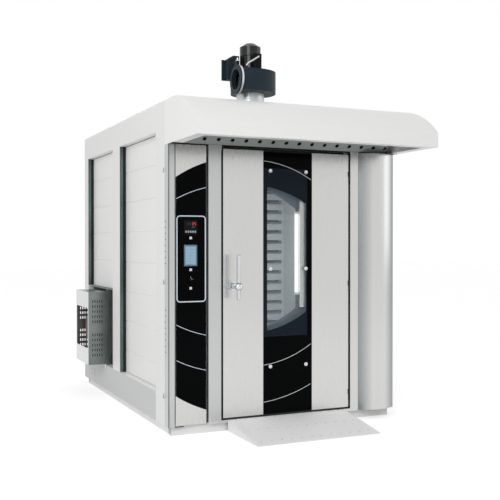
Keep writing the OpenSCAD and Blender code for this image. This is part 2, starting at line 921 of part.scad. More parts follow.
module chamber_walls() {
  left = doorway_mid - doorway_w / 2;
  right = doorway_mid + doorway_w / 2;
  color("silver") from_front() {
    block([-shell_x, jamb_y, sill_z], [left, chamber_y, ceiling_z]);
    block([right, jamb_y, sill_z], [shell_x, chamber_y, ceiling_z]);
    block([left + fit_gap, jamb_y, doorway_top], [right - fit_gap, chamber_y, ceiling_z]);
    block([-shell_x, chamber_y + fit_gap, sill_z], [-chamber_x, rear_wall_end, ceiling_z]);
    block([chamber_x, chamber_y + fit_gap, sill_z], [shell_x, rear_wall_end, ceiling_z]);
    // the rear wall between and above the two air grilles
    block([louvre_w - chamber_x, chamber_end, sill_z], [chamber_x - louvre_w, rear_wall_end, ceiling_z]);
  }
}

module chamber_ceiling() {
  color("silver") from_front() difference() {
    block([-shell_x, jamb_y, ceiling_z], [shell_x, heat_end, ceiling_top]);
    rod_z(0, rotor_back, ceiling_z - cut, ceiling_top + cut, rotor_d / 2 + reveal);
    rod_z(damper_x, damper_y, ceiling_z - cut, ceiling_top + cut, damper_d / 2 + sheet_t);
    rod_z(0, heat_mid_y, ceiling_z - cut, ceiling_top + cut, fan_d / 4);
    rod_z(flue_x, burner_y, ceiling_z - cut, ceiling_top + cut, flue_d / 2 + reveal);
  }
}

// Slanted blades between two stiles: the supply louvre on the left, the return grille right.
module air_grille() {
  rows = floor((ceiling_z - sill_z - louvre_pitch) / louvre_pitch);
  stile = 20;
  block([0, 0, 0], [stile, wall_t, ceiling_z - sill_z]);
  block([louvre_w - stile, 0, 0], [louvre_w, wall_t, ceiling_z - sill_z]);
  for (n = [0:rows]) {
    translate([stile, 0, n * louvre_pitch]) along_x(0, louvre_w - 2 * stile) {
      polygon([
        [0, 0], [wall_t, louvre_pitch / 4],
        [wall_t, louvre_pitch - louvre_slot], [0, louvre_pitch - louvre_slot - louvre_pitch / 4],
      ]);
    }
  }
}

module air_grilles() {
  color("silver") from_front() {
    translate([-chamber_x, chamber_end, sill_z]) air_grille();
    translate([chamber_x - louvre_w, chamber_end, sill_z]) air_grille();
  }
}

module insulation() {
  color("khaki") from_front() {
    block([-panel_x, jamb_y, clad_z], [-shell_x, rear_bay_y - sheet_t, ceiling_top]);
    block([-panel_x, rear_bay_y - sheet_t + fit_gap, niche_top], [-shell_x, rear_skin_y, ceiling_top]);
    block([shell_x, jamb_y, clad_z], [panel_x, rear_skin_y, ceiling_top]);
    block([fit_gap - shell_x, heat_end, clad_z], [shell_x - fit_gap, rear_skin_y, ceiling_top]);
  }
}

module heat_walls() {
  color("gray") from_front() {
    difference() {
      block([-shell_x, rear_wall_end, clad_z], [heat_wall_t - shell_x, heat_end, ceiling_z]);
      rod_x(burner_y, burner_z, -shell_x - cut, heat_wall_t - shell_x + cut, blast_d / 2 + reveal);
    }
    block([shell_x - heat_wall_t, rear_wall_end, clad_z], [shell_x, heat_end, ceiling_z]);
    inner = shell_x - heat_wall_t - fit_gap;
    back = heat_end - heat_wall_t;
    block([-inner, back, clad_z], [inner, heat_end, ceiling_z]);
    block([-inner, rear_wall_end, clad_z], [inner, back - fit_gap, clad_z + heat_wall_t]);
  }
}

// ---------- heating ----------

module heat_exchanger() {
  x = exchanger_x;
  half = exchanger_share * (heat_end - rear_wall_end) / 2;
  y = [burner_y - half, burner_y + half];
  pitch_x = 2 * x / (tube_columns + 1);
  pitch_y = (y[1] - y[0]) / tube_rows;
  low = header_low;
  color("darkgray") from_front() {
    for (z = [low, header_high]) {
      block([-x, y[0], z], [x, y[1], z + header_h]);
    }
    for (column = [1:tube_columns], row = [0:tube_rows - 1]) {
      rod_z(column * pitch_x - x, y[0] + (row + 0.5) * pitch_y, low + header_h, header_high, tube_d / 2);
    }
    // the combustion chamber lies under the lower header on a neck and two saddles
    rod_x(burner_y, burner_z, -x, x, fire_d / 2);
    difference() {
      block([-60, burner_y - 60, burner_z], [60, burner_y + 60, low]);
      rod_x(burner_y, burner_z, -x, x, fire_d / 2);
    }
    for (side = [-1, 1]) {
      difference() {
        translate([side * (x - 60), 0, 0]) {
          block([-15, y[0], clad_z + heat_wall_t], [15, y[1], low]);
        }
        rod_x(burner_y, burner_z, -x - cut, x + cut, fire_d / 2);
      }
    }
  }
}

module flue_pipe() {
  color("silver") from_front() difference() {
    union() {
      rod_z(flue_x, burner_y, header_high + header_h, roof_z + flue_rise, flue_d / 2);
      // the rain collar on the roof
      rod_z(flue_x, burner_y, roof_z, roof_z + 8, flue_d / 2 + 25);
    }
    rod_z(flue_x, burner_y, header_high + header_h - cut, roof_z + flue_rise + cut, flue_d / 2 - sheet_t);
  }
}

module burner() {
  body_r = 95;
  color("firebrick") from_front() {
    rod_x(burner_y, burner_z, 60 - half_w, -exchanger_x, blast_d / 2);
    rod_x(burner_y, burner_z, -shroud_x + 50, 60 - half_w, body_r);
    rod_y(-half_w - 20, burner_z - body_r - 20, burner_y - 110, burner_y + 110, 55);
    block([-shroud_x + 50, burner_y - 60, burner_z - body_r - 20],
        [10 - half_w, burner_y + 60, burner_z - body_r / 2]);
  }
}

module burner_niche() {
  x = bay_recess - half_w;
  back = -shell_x - 4;
  y = [rear_bay_y, rear_bay_end];
  color("dimgray") from_front() {
    difference() {
      block([back - 3, y[0], bay_z], [back, y[1], niche_top]);
      rod_x(burner_y, burner_z, back - 3 - cut, back + cut, blast_d / 2 + reveal);
    }
    block([x, y[0], bay_z], [back - 3, y[0] + 3, niche_top]);
    block([x, y[1] - 3, bay_z], [back - 3, y[1], niche_top]);
    block([x - 44, y[0] + 3, niche_top - 3], [back - 3, y[1] - 3, niche_top]);
    block([x, y[0] + 3, bay_z], [back - 3, y[1] - 3, bay_z + 3]);
  }
}

// A slotted end plate of the shroud, in the plane y = 0, as wide as the shroud stands out.
module shroud_end_plate() {
  pitch = [20, 43];
  slot = [8, 22];
  middle = -half_w - shroud_out / 2;
  difference() {
    block([-shroud_x + sheet_t, 0, shroud_low], [-half_w, sheet_t, shroud_top]);
    for (group = [0, 1], column = [0:shroud_slots - 1], row = [0:shroud_slots - 1]) {
      x = middle + (column - (shroud_slots - 1) / 2) * pitch.x;
      z = shroud_low + shroud_h * (0.27 + 0.46 * group) + (row - (shroud_slots - 1) / 2) * pitch.y;
      block([x - slot.x / 2, -cut, z - slot.y / 2], [x + slot.x / 2, sheet_t + cut, z + slot.y / 2]);
    }
  }
}

module burner_shroud() {
  outer = [-shroud_x, sheet_t - shroud_x];
  window = [shroud_low + shroud_cut_z, shroud_low + shroud_cut_z + shroud_cut_h];
  edge = 22;
  foot_w = 30;
  color("silver") from_front() {
    translate([0, shroud_y, 0]) shroud_end_plate();
    translate([0, shroud_end - sheet_t, 0]) shroud_end_plate();
    block([-shroud_x + sheet_t, shroud_y + sheet_t, shroud_top - sheet_t],
       [-half_w, shroud_end - sheet_t, shroud_top]);
    // the two feet that are screwed to the bottom rail
    for (y = [shroud_y, shroud_end - foot_w]) {
      block([-half_w - sheet_t, y, bay_z - foot_w], [-half_w, y + foot_w, shroud_low]);
    }
    // the outer face is made of four strips around its cut-out
    block([outer[0], shroud_y, shroud_low], [outer[1], shroud_end, window[0]]);
    block([outer[0], shroud_y, window[1]], [outer[1], shroud_end, shroud_top]);
    block([outer[0], shroud_y, window[0]], [outer[1], shroud_y + edge, window[1]]);
    block([outer[0], shroud_end - edge, window[0]], [outer[1], shroud_end, window[1]]);
  }
}

module steam_generator() {
  x = [exchanger_x + 30, shell_x - heat_wall_t - 10];
  y = [rear_wall_end + 60, rear_wall_end + 60 + steamer_d];
  trays = 8;
  low = clad_z + heat_wall_t;
  color("slategray") from_front() {
    for (side = [0, 1]) {
      at = side == 0 ? y[0] : y[1] - 4;
      block([x[0], at, low], [x[1], at + 4, low + (trays + 1) * tray_pitch]);
    }
    for (n = [1:trays]) {
      lean = n % 2 == 0 ? 1 : -1;
      z = low + n * tray_pitch;
      translate([(x[0] + x[1]) / 2, y[1] - 4, z]) rotate([90, 0, 0]) linear_extrude(y[1] - y[0] - 8) {
        rotate(lean * 14) polygon([
          [-60, 0], [60, 0], [60, 30], [52, 30], [52, 8], [-52, 8], [-52, 30], [-60, 30],
        ]);
      }
    }
  }
}

module circulation_motor() {
  r = 110;
  plate = fan_d / 2;
  color("steelblue") from_front() translate([0, heat_mid_y, roof_z]) difference() {
    union() {
      cylinder(h = 10, r = plate);
      cylinder(h = 230, r = r);
      for (n = [0:23]) {
        rotate([0, 0, n * 15]) block([r - 4, -2, 40], [r + 12, 2, 210]);
      }
      translate([0, 0, 230]) cylinder(h = 40, r1 = r + 14, r2 = r - 20);
    }
    translate([0, 0, -cut]) cylinder(h = 120, r = shaft_r + pin_play);
  }
}

// An open wheel with straight blades on a back plate above and a ring below, from z = 0 up.
module impeller(d, h, hub_r, bore = 0) {
  plate = 4;
  difference() {
    union() {
      translate([0, 0, h - plate]) cylinder(h = plate, r = d / 2);
      cylinder(h = h, r = hub_r);
    }
    if (bore > 0) translate([0, 0, -cut]) cylinder(h = h + 2 * cut, r = bore);
  }
  difference() {
    cylinder(h = plate, r = d / 2);
    translate([0, 0, -cut]) cylinder(h = plate + 2 * cut, r = d * 0.36);
  }
  for (n = [0:blade_count - 1]) {
    rotate([0, 0, n * 360 / blade_count]) translate([d * 0.33, 0, 0]) {
      rotate([0, 0, 35]) block([0, -1.5, 0], [d * 0.155, 1.5, h]);
    }
  }
}

module circulation_impeller() {
  color("silver") from_front() translate([0, heat_mid_y, ceiling_z - 10 - fan_h]) {
    impeller(fan_d, fan_h, 40);
    cylinder(h = roof_z - ceiling_z + 10 + fan_h + 100, r = shaft_r);
  }
}

module steam_damper_duct() {
  r = damper_d / 2 + sheet_t;
  color("lightgray") from_front() difference() {
    rod_z(damper_x, damper_y, ceiling_z, roof_low, r);
    rod_z(damper_x, damper_y, ceiling_z - cut, roof_low + cut, r - sheet_t);
    rod_x(damper_y, ceiling_top + 120, damper_x - r - cut, damper_x + r + cut, 5 + pin_play);
  }
}

module steam_damper_blade() {
  r = damper_d / 2;
  z = ceiling_top + 120;
  color("silver") from_front() {
    rod_x(damper_y, z, damper_x - r - 30, damper_x + r + 30, 5);
    translate([0, 0, z - 1.5]) rod_z(damper_x, damper_y, 0, 3, r - 1);
    block([damper_x + r + 24, damper_y - 4, z - 50], [damper_x + r + 30, damper_y + 4, z]);
  }
}

// ---------- rack rotor ----------

module rotor_gearmotor() {
  play = rotor_d / 2 + pin_play;
  base = 16;
  w = gearbox_w / 2;
  z = (base + gearbox_h) / 2;
  color("steelblue") from_front() translate([0, rotor_back, ceiling_top]) difference() {
    union() {
      cylinder(h = base, r = w + 20);
      block([-w, -w, base], [w, w, gearbox_h]);
      rod_x(0, z, w - 5, w + 35, drive_d / 2 - 8);
      rod_x(0, z, w + 30, w + 30 + drive_l, drive_d / 2);
    }
    translate([0, 0, -cut]) cylinder(h = 110, r = play);
  }
}

module rack_rotor() {
  hook_w = 30;
  top = ceiling_z - cross_drop;
  color("silver") from_front() translate([0, rotor_back, 0]) {
    rod_z(0, 0, top, ceiling_top + 100, rotor_d / 2);
    rod_z(0, 0, top - cross_h, top, rotor_d / 2 + 20);
    for (turn = [0, 90]) {
      rotate([0, 0, turn]) difference() {
        block([-cross_l / 2, -hook_w / 2, top - cross_h], [cross_l / 2, hook_w / 2, top]);
        translate([0, 0, top - cross_h - cut]) cylinder(h = cross_h + 2 * cut, r = rotor_d / 2 + 19);
      }
    }
    for (side = [-1, 1]) {
      translate([side * (cross_l / 2 - 6), 0, top - cross_h]) {
        block([-6, -hook_w / 2, -50], [6, hook_w / 2, 0]);
        block([-hook_foot / 2, -hook_w / 2, -62], [hook_foot / 2, hook_w / 2, -50]);
      }
    }
  }
}

// ---------- roof blower ----------

module at_blower(z) {
  translate([blower_x, blower_back - rotor_back, z]) children();
}

module blower_collar() {
  color("lightgray") at_blower(roof_low) difference() {
    cylinder(h = collar_h + sheet_t, r = duct_d / 2);
    translate([0, 0, -cut]) cylinder(h = collar_h + sheet_t + 2 * cut, r = duct_d / 2 - sheet_t);
  }
}

// The scroll's wall follows a spiral that widens over three quarters of a turn, from the
// tongue to the front, and then runs straight to the outlet's flat wall on the left.
module scroll_outline(inset = 0) {
  steps = 27;
  corner = [inset - scroll_r, inset - scroll_r - scroll_growth];
  spiral = [
    for (n = [0:steps])
      let (turn = 180 - n * 270 / steps, r = scroll_r + scroll_growth * n / steps - inset)
      [r * cos(turn), r * sin(turn)]
  ];
  polygon(concat(spiral, [corner]));
}

module blower_scroll() {
  mid = scroll_h / 2;
  reach = -scroll_r - outlet_l;
  band = [reach + 10, reach + 24];
  color("#3c4044") at_blower(scroll_z) {
    difference() {
      union() {
        linear_extrude(scroll_h) scroll_outline();
        rod_x(outlet_y, mid, reach, 0, outlet_d / 2);
        rod_x(outlet_y, mid, reach, band[0], duct_d / 2);
        // the clamp band behind the flange, with its block on top
        rod_x(outlet_y, mid, band[0], band[1], duct_d / 2 + 2);
        block([reach + 2, outlet_y - 14, mid], [band[1], outlet_y + 14, mid + duct_d / 2 + 30]);
      }
      translate([0, 0, sheet_t]) linear_extrude(scroll_h - 2 * sheet_t) scroll_outline(sheet_t);
      rod_x(outlet_y, mid, reach - cut, 0, outlet_d / 2 - sheet_t);
      translate([0, 0, -cut]) cylinder(h = sheet_t + 2 * cut, r = impeller_d * 0.36);
      translate([0, 0, scroll_h - sheet_t - cut]) cylinder(h = sheet_t + 2 * cut, r = shaft_r + 4);
    }
    // the gland where the motor lead enters the scroll's top
    rod_z(lead_end.x, lead_end.y, scroll_h, lead_end.z, gland_r);
  }
}

module blower_impeller() {
  color("silver") at_blower(scroll_z + 25) {
    impeller(impeller_d, scroll_h - 60, 26);
    cylinder(h = scroll_h + 50, r = shaft_r);
  }
}

module blower_motor() {
  r = motor_d / 2;
  color("#33363a") at_blower(scroll_top) {
    difference() {
      union() {
        cylinder(h = 8, r = r + 12);
        cylinder(h = motor_h, r = r - 8);
        for (n = [0:motor_fins - 1]) {
          rotate([0, 0, n * 360 / motor_fins]) block([r - 12, -2, 12], [r, 2, motor_h]);
        }
        // the pad that carries the terminal box, in front
        block([-box_w / 4, -box_in, 20], [box_w / 4, 12 - r, box_h]);
      }
      translate([0, 0, -cut]) cylinder(h = 90, r = shaft_r + pin_play);
    }
    // the fan cowl with its bevelled top
    translate([0, 0, motor_h - 4]) rotate_extrude() polygon([
      [0, 0], [r + 1, 0], [r + 1, cowl_h - 22], [r - 38, cowl_h + 4], [0, cowl_h + 4],
    ]);
  }
}

module terminal_box() {
  front = -box_in - box_d;
  w = box_w / 2;
  color("#1f2124") at_blower(scroll_top + 14) {
    block([-w, front, 0], [w, -box_in, box_h]);
    block([-w - 3, front - 8, -3], [w + 3, front, box_h + 3]);
    rod_y(0, lead_start.z - scroll_h - 14, lead_start.y, front - 8, gland_r);
  }
}

// The lead's route from the terminal box's gland down to the gland on the scroll's top.
gland_r = 9;
lead_sides = 8;
lead_start = [0, -box_in - box_d - 20, 255];
lead_end = [-109, -182, scroll_h + 14];
lead_path = [
  lead_start, lead_start - [0, 12, 0], [-5, -167, 252], [-19, -177, 243], [-38, -181, 231],
  [-58, -183, 218], [-78, -184, 206], [-96, -183.5, 195], [-106, -182.5, 184],
  lead_end + [0, 0, 6], lead_end,
];

function unit(v) = v / norm(v);
function path_direction(path, n) =
  unit(path[min(n + 1, len(path) - 1)] - path[max(n - 1, 0)]);

// A round tube swept along a path, with one ring of points at each of the path's points.
module swept_tube(path, d, sides) {
  rings = [
    for (n = [0:len(path) - 1])
      let (
        along = path_direction(path, n),
        side = unit(cross(along, [0.3, 1, 0])),
        up = cross(side, along)
      )
      for (k = [0:sides - 1])
        let (turn = k * 360 / sides)
        path[n] + d / 2 * (cos(turn) * side + sin(turn) * up)
  ];
  last = (len(path) - 1) * sides;
  walls = [
    for (n = [0:len(path) - 2], k = [0:sides - 1])
      let (a = n * sides + k, b = n * sides + (k + 1) % sides)
      each [[a, b, b + sides], [a, b + sides, a + sides]]
  ];
  ends = [[for (k = [sides - 1:-1:0]) k], [for (k = [0:sides - 1]) last + k]];
  polyhedron(points = rings, faces = concat(walls, ends));
}

module motor_lead() {
  color("gainsboro") at_blower(scroll_z) swept_tube(lead_path, lead_d, lead_sides);
}

// A ribbed box bracket that stands on the scroll's top left of the motor.
module blower_bracket() {
  wall = -scroll_r - fit_gap;
  x = [wall - 70, wall - 42, 0.66 * wall];
  y = [-6, bracket_d - 6];
  z = [-bracket_h / 3, bracket_h / 2 + 3, bracket_h * 2 / 3];
  color("#2b2e31") at_blower(scroll_top) {
    translate([0, y[1], 0]) rotate([90, 0, 0]) linear_extrude(bracket_d) polygon([
      [x[1], z[0]], [x[1], z[1]], [wall, z[2]], [x[2], z[2]], [x[2], 0], [wall, 0], [wall, z[0]],
    ]);
    for (n = [0:2]) {
      rib = x[1] + 12 * (n + 1);
      block([rib, y[0] - 4, z[0]], [rib + 5, y[0], z[1] - 4]);
    }
    // the flange on its left side, with two bolts
    block([x[0], y[1] - 8, z[0]], [x[1], y[1], z[1]]);
    for (height = [z[0] + 16, z[1] - 16]) {
      rod_y((x[0] + x[1]) / 2, height, y[1] - 14, y[1] - 8, 7);
    }
  }
}

// ---------- door ----------

// The core is a welded frame of insulated stiles and rails behind the skins and the glass.
module door_core() {
  skin = sheet_t;
  behind = glass_t + 1;
  left = glass_x + window_lap;
  right = glass_end - window_lap;
  color("darkgray") from_front() {
    difference() {
      block([door_x + skin, skin, door_z], [glass_x, front_d, door_top]);
      rod_y(spindle_x, spindle_height, 0, tongue_y + tongue_t, spindle_d / 2 + pin_play);
      rod_y(spindle_x, spindle_height, tongue_y - 1, tongue_y + tongue_t + 1, tongue_l + 5);
    }
    block([glass_end, skin, door_z], [door_end - skin, front_d, door_top]);
    block([glass_x, behind, door_z], [left, front_d, door_top]);
    block([right, behind, door_z], [glass_end, front_d, door_top]);
    block([left, behind, door_z], [right, front_d, window_low]);
    block([left, behind, window_top], [right, front_d, door_top]);
  }
}

module door_skins() {
  slot = [spindle_height - tongue_w, spindle_height + tongue_l];
  color("silver") from_front() {
    difference() {
      block([door_x, 0, door_z], [glass_x, front_d, door_top]);
      block([door_x + sheet_t, sheet_t, door_z - cut], [glass_x + cut, front_d + cut, door_top + cut]);
      rod_y(spindle_x, spindle_height, -cut, sheet_t + cut, spindle_d / 2 + 0.5);
      block([door_x - cut, tongue_y - 4, slot[0]],
         [door_x + sheet_t + cut, tongue_y + tongue_t + 4, slot[1]]);
    }
    difference() {
      block([glass_end, 0, door_z], [door_end, front_d, door_top]);
      block([glass_end - cut, sheet_t, door_z - cut], [door_end - sheet_t, front_d + cut, door_top + cut]);
    }
  }
}

function stud_places() = [
  for (
    x = [glass_x + stud_inset, glass_end - stud_inset],
    z = [door_z + stud_z[0], door_z + stud_z[1], door_top - stud_drop]
  ) [x, z]
];

module outer_glass() {
  color("black", 0.9) from_front() difference() {
    block([glass_x + 1, 0, door_z], [glass_end - 1, glass_t, door_top]);
    for (at = stud_places()) rod_y(at.x, at.y, -cut, glass_t + cut, 6);
  }
}

module inner_glass() {
  left = glass_x + window_lap;
  right = glass_end - window_lap;
  color("slategray", 0.5) from_front() {
    block([left, front_d - 6, window_low], [right, front_d - 1, window_top]);
  }
}

module glass_buttons() {
  color("silver") from_front() for (at = stud_places()) {
    rod_y(at.x, at.y, -stud_h, -1.5, stud_d / 2);
    rod_y(at.x, at.y, -1.5, 0, stud_d / 2 - 1.5);
    rod_y(at.x, at.y, 0, glass_t + 1, 5.9);
  }
}

module door_seal() {
  x = [door_x + 12, door_end - 12];
  z = [door_z + 2, door_top - 2];
  back = [front_d, front_d + seal_t];
  color("dimgray") from_front() {
    block([x[0], back[0], z[0]], [x[0] + seal_w, back[1], z[1]]);
    block([x[1] - seal_w, back[0], z[0]], [x[1], back[1], z[1]]);
    across = [x[0] + seal_w + fit_gap, x[1] - seal_w - fit_gap];
    block([across[0], back[0], z[0]], [across[1], back[1], z[0] + seal_w]);
    block([across[0], back[0], z[1] - seal_w], [across[1], back[1], z[1]]);
  }
}

// The lamp stands between the two panes, beside a folded housing that hides the window's
// right edge.
module door_lamp() {
  right = glass_end - window_lap;
  x = right - lamp_in;
  r = lamp_d / 2;
  y = (glass_t + front_d) / 2;
  low = window_low + lamp_up;
  case_x = x + r + 4;
  color("white") from_front() {
    rod_z(x, y, low, low + lamp_l, r);
    for (z = [low - 18, low + lamp_l]) {
      block([x - r - 2, y - r - 2, z], [case_x, y + r + 2, z + 18]);
    }
    post([case_x, y - 18, window_low + lamp_case_up], [right, y + 18, window_top]);
  }
}

// ---------- hinges and handle ----------

module door_hinges() {
  r = hinge_gap / 2 - 0.5;
  color("dimgray") from_front() for (low = hinge_places) {
    // the knuckle on the door's edge holds the pin, which hangs into the bracket below
    difference() {
      union() {
        rod_z(hinge_axis_x, 0, low, low + knuckle_h, r);
        block([door_end, 1 - r, low], [hinge_axis_x, r - 1, low + knuckle_h]);
      }
      rod_z(hinge_axis_x, 0, low - cut, low + knuckle_h + cut, bore_r);
    }
    rod_z(hinge_axis_x, 0, low - knuckle_h, low + knuckle_h, pin_r);
    rod_z(hinge_axis_x, 0, low + knuckle_h, low + knuckle_h + 3, r - 0.5);
  }
}

module hinge_brackets() {
  r = hinge_gap / 2 - 0.5;
  color("dimgray") from_front() {
    for (place = hinge_places) {
      high = place - fit_gap;
      difference() {
        union() {
          rod_z(hinge_axis_x, 0, high - knuckle_h, high, r);
          block([hinge_axis_x - r + 3, 0, high - knuckle_h], [hinge_x, jamb_y, high]);
        }
        rod_z(hinge_axis_x, 0, high - knuckle_h - cut, high + cut, bore_r);
      }
    }
    // the two plates that carry the control column's pivots
    for (z = [clad_z, lintel_z - bracket_t]) difference() {
      block([column_x, 2, z], [column_x + 60, jamb_y, z + bracket_t]);
      rod_z(column_pin_x, column_pin_in, z - cut, z + bracket_t + cut, column_pin_r + pin_play);
    }
  }
}

module handle_bar() {
  r = handle_d / 2;
  low = spindle_height - handle_down;
  high = spindle_height + handle_up;
  color("silver") from_front() translate([spindle_x, -handle_out, 0]) {
    translate([0, 0, low]) rotate_extrude() polygon(bar_profile(r, high - low));
  }
}

// Half of the bar's outline, with rounded ends.
function bar_profile(r, length) = concat(
  [for (a = [-90:15:0]) [r * cos(a), r * 0.6 + r * 0.6 * sin(a)]],
  [for (a = [0:15:90]) [r * cos(a), length - r * 0.6 + r * 0.6 * sin(a)]]
);

module handle_spindle() {
  r = handle_d / 2;
  color("silver") from_front() {
    difference() {
      union() {
        rod_y(spindle_x, spindle_height, 2 * r - handle_out - 12, -rosette_t - 1, 13);
        rod_y(spindle_x, spindle_height, -handle_out, 2 * r - handle_out - 12, hub_d / 2);
      }
      rod_z(spindle_x, -handle_out, spindle_height - hub_d, spindle_height + hub_d, r);
    }
    rod_y(spindle_x, spindle_height, -rosette_t - 1, -1, rosette_d / 2);
    rod_y(spindle_x, spindle_height, -1, tongue_y, spindle_d / 2 - pin_play);
    // the latch tongue stands upright inside the door until the handle is turned
    block([spindle_x - tongue_w / 2, tongue_y, spindle_height - tongue_w / 2],
       [spindle_x + tongue_w / 2, tongue_y + tongue_t, spindle_height + tongue_l]);
  }
}

// ---------- control column ----------

module control_tray() {
  x = [column_x, control_x];
  color("silver") from_front() {
    difference() {
      block([x[0], 0, column_low], [x[1], column_depth, column_top]);
      block([x[0] + sheet_t, sheet_t, column_low + sheet_t],
         [x[1] - sheet_t, column_depth + cut, column_top - sheet_t]);
      control_cut_outs();
      for (z = [column_low, column_top - sheet_t]) {
        rod_z(column_pin_x, column_pin_in, z - cut, z + sheet_t + cut, column_pin_r + pin_play);
      }
    }
    // the pivot pins, each with a head inside the tray
    column_pin(clad_z + 0.5, column_low + sheet_t, 1);
    column_pin(column_top - sheet_t, lintel_z - 0.5, -1);
    // the housing of the electronics behind the glass
    block([x[0] + 22, column_depth, housing_low],
       [x[1] - 12, column_depth + housing_d, housing_low + control_box_h]);
  }
}

module column_pin(low, high, way) {
  x = column_pin_x;
  head = way > 0 ? high : low - 4;
  rod_z(x, column_pin_in, low, high, column_pin_r);
  rod_z(x, column_pin_in, head, head + 4, column_pin_r + 1.5);
}

// Openings for the controls, through the tray's face or the glass.
module control_cut_outs() {
  y = [-control_glass_t - cut, sheet_t + cut];
  mid = controls_mid;
  gap = 0.5;
  block([mid - controller_w / 2 - gap, y[0], clad_z + controller_z - controller_w / 2 - gap],
     [mid + controller_w / 2 + gap, y[1], clad_z + controller_z + controller_w / 2 + gap]);
  block([mid - display_w / 2 - gap, y[0], clad_z + display_z - gap],
     [mid + display_w / 2 + gap, y[1], clad_z + display_z + display_h + gap]);
  for (z = key_z) {
    block([mid - key_w / 2 - gap, y[0], clad_z + z - key_w / 2 - gap],
       [mid + key_w / 2 + gap, y[1], clad_z + z + key_w / 2 + gap]);
  }
  rod_y(mid, clad_z + selector_z, y[0], y[1], selector_shaft_r + pin_play);
}

// The black glass ends in two arcs about a centre on the door.
module control_glass() {
  low = column_low + 2;
  color("#0b0c0e") from_front() difference() {
    rotate([90, 0, 0]) linear_extrude(control_glass_t) intersection() {
      translate([column_x + 2, low]) square([control_x - column_x - 4, column_top - low - 2]);
      translate([arc_x, arc_mid_z]) circle(r = arc_r, $fn = 128);
    }
    control_cut_outs();
  }
}

module controller() {
  z = clad_z + controller_z;
  w = controller_w / 2;
  color("#101114") from_front() {
    block([controls_mid - w, -control_glass_t - 1, z - w], [controls_mid + w, column_depth, z + w]);
  }
}

module touch_display() {
  z = clad_z + display_z;
  w = display_w / 2;
  color("lightblue") from_front() {
    block([controls_mid - w, -control_glass_t - 1, z], [controls_mid + w, column_depth, z + display_h]);
  }
}

module push_key(height) {
  z = clad_z + height;
  w = key_w / 2;
  color("whitesmoke") from_front() {
    block([controls_mid - w, -control_glass_t - key_travel - 1, z - w],
       [controls_mid + w, column_depth - key_travel - fit_gap, z + w]);
  }
}

module lower_key() {
  push_key(key_z[0]);
}

module middle_key() {
  push_key(key_z[1]);
}

module upper_key() {
  push_key(key_z[2]);
}

module selector() {
  z = clad_z + selector_z;
  y = -control_glass_t;
  color("#1a1b1e") from_front() {
    rod_y(controls_mid, z, y - 6, y - fit_gap, selector_d / 2);
    block([controls_mid - 3, y - 16, z - selector_d / 2 + 1],
        [controls_mid + 3, y - 6, z + selector_d / 2 - 1]);
    rod_y(controls_mid, z, y - fit_gap, column_depth - fit_gap, selector_shaft_r - pin_play);
  }
}

base_frame();
floor_slab();
floor_plate();
ramp();
side_frames();
rear_frame();
wall_panels();
left_corner_post();
roof_sheets();
hood_shell();
hood_end_caps();
steam_strip();
hood_duct();
lintel_rail();
strike_pillar();
hinge_strip();
bow_panel();
chamber_walls();
chamber_ceiling();
air_grilles();
insulation();
heat_walls();
heat_exchanger();
burner();
burner_niche();
burner_shroud();
flue_pipe();
steam_generator();
circulation_motor();
circulation_impeller();
steam_damper_duct();
steam_damper_blade();
rotor_gearmotor();
rack_rotor();
blower_collar();
blower_scroll();
blower_motor();
terminal_box();
motor_lead();
blower_bracket();
blower_impeller();
door_core();
door_skins();
outer_glass();
inner_glass();
glass_buttons();
door_seal();
door_lamp();
door_hinges();
hinge_brackets();
handle_bar();
handle_spindle();
control_tray();
control_glass();
controller();
touch_display();
upper_key();
middle_key();
lower_key();
selector();
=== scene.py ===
"""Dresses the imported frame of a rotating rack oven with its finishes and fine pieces."""

import math

import bmesh
import bpy
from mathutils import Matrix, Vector


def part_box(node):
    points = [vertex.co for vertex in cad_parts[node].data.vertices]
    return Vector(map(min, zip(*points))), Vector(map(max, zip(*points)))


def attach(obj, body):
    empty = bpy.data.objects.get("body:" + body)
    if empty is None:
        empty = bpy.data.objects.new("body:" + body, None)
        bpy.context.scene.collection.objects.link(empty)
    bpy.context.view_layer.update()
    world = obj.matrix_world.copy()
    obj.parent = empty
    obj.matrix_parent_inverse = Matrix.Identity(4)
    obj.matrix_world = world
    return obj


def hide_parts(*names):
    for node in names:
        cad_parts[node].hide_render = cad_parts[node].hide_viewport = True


bl_info = {
    "name": "Rack oven dressing",
    "version": (1, 0, 0),
    "blender": (4, 5, 0),
    "location": "3D View > Sidebar > Oven",
    "description": "Adds the finishes and the fine pieces of a rotating rack oven to its frame",
    "category": "Object",
}

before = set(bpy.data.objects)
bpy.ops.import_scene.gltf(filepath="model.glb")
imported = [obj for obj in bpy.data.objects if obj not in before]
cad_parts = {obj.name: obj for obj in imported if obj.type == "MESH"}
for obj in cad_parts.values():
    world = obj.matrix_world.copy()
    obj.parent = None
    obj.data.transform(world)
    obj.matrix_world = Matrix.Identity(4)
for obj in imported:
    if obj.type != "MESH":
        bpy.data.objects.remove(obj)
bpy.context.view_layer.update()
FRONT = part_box("door_skins")[0].y
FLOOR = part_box("base_frame")[0].z


def linear(colour):
    """A colour written as sRGB hex as linear red, green, blue and alpha, or any other as it is."""
    if not isinstance(colour, str):
        return colour
    parts = [int(colour[n:n + 2], 16) / 255 for n in (1, 3, 5)]
    return [c / 12.92 if c <= 0.04045 else ((c + 0.055) / 1.055) ** 2.4 for c in parts] + [1.0]


def length(name, about, default):
    """A length in millimetres that a user may change."""
    return bpy.props.FloatProperty(
        name=name, description=about, default=default / 1000, unit="LENGTH", precision=4
    )


def power(name, about, default):
    """A lamp's power in watts that a user may change."""
    return bpy.props.FloatProperty(name=name, description=about, default=default, min=0, unit="POWER")


def paint(name, about, default):
    """A colour that a user may change."""
    return bpy.props.FloatVectorProperty(
        name=name, description=about, default=linear(default), size=4, subtype="COLOR", min=0, max=1
    )


# ---------- what a user may change ----------


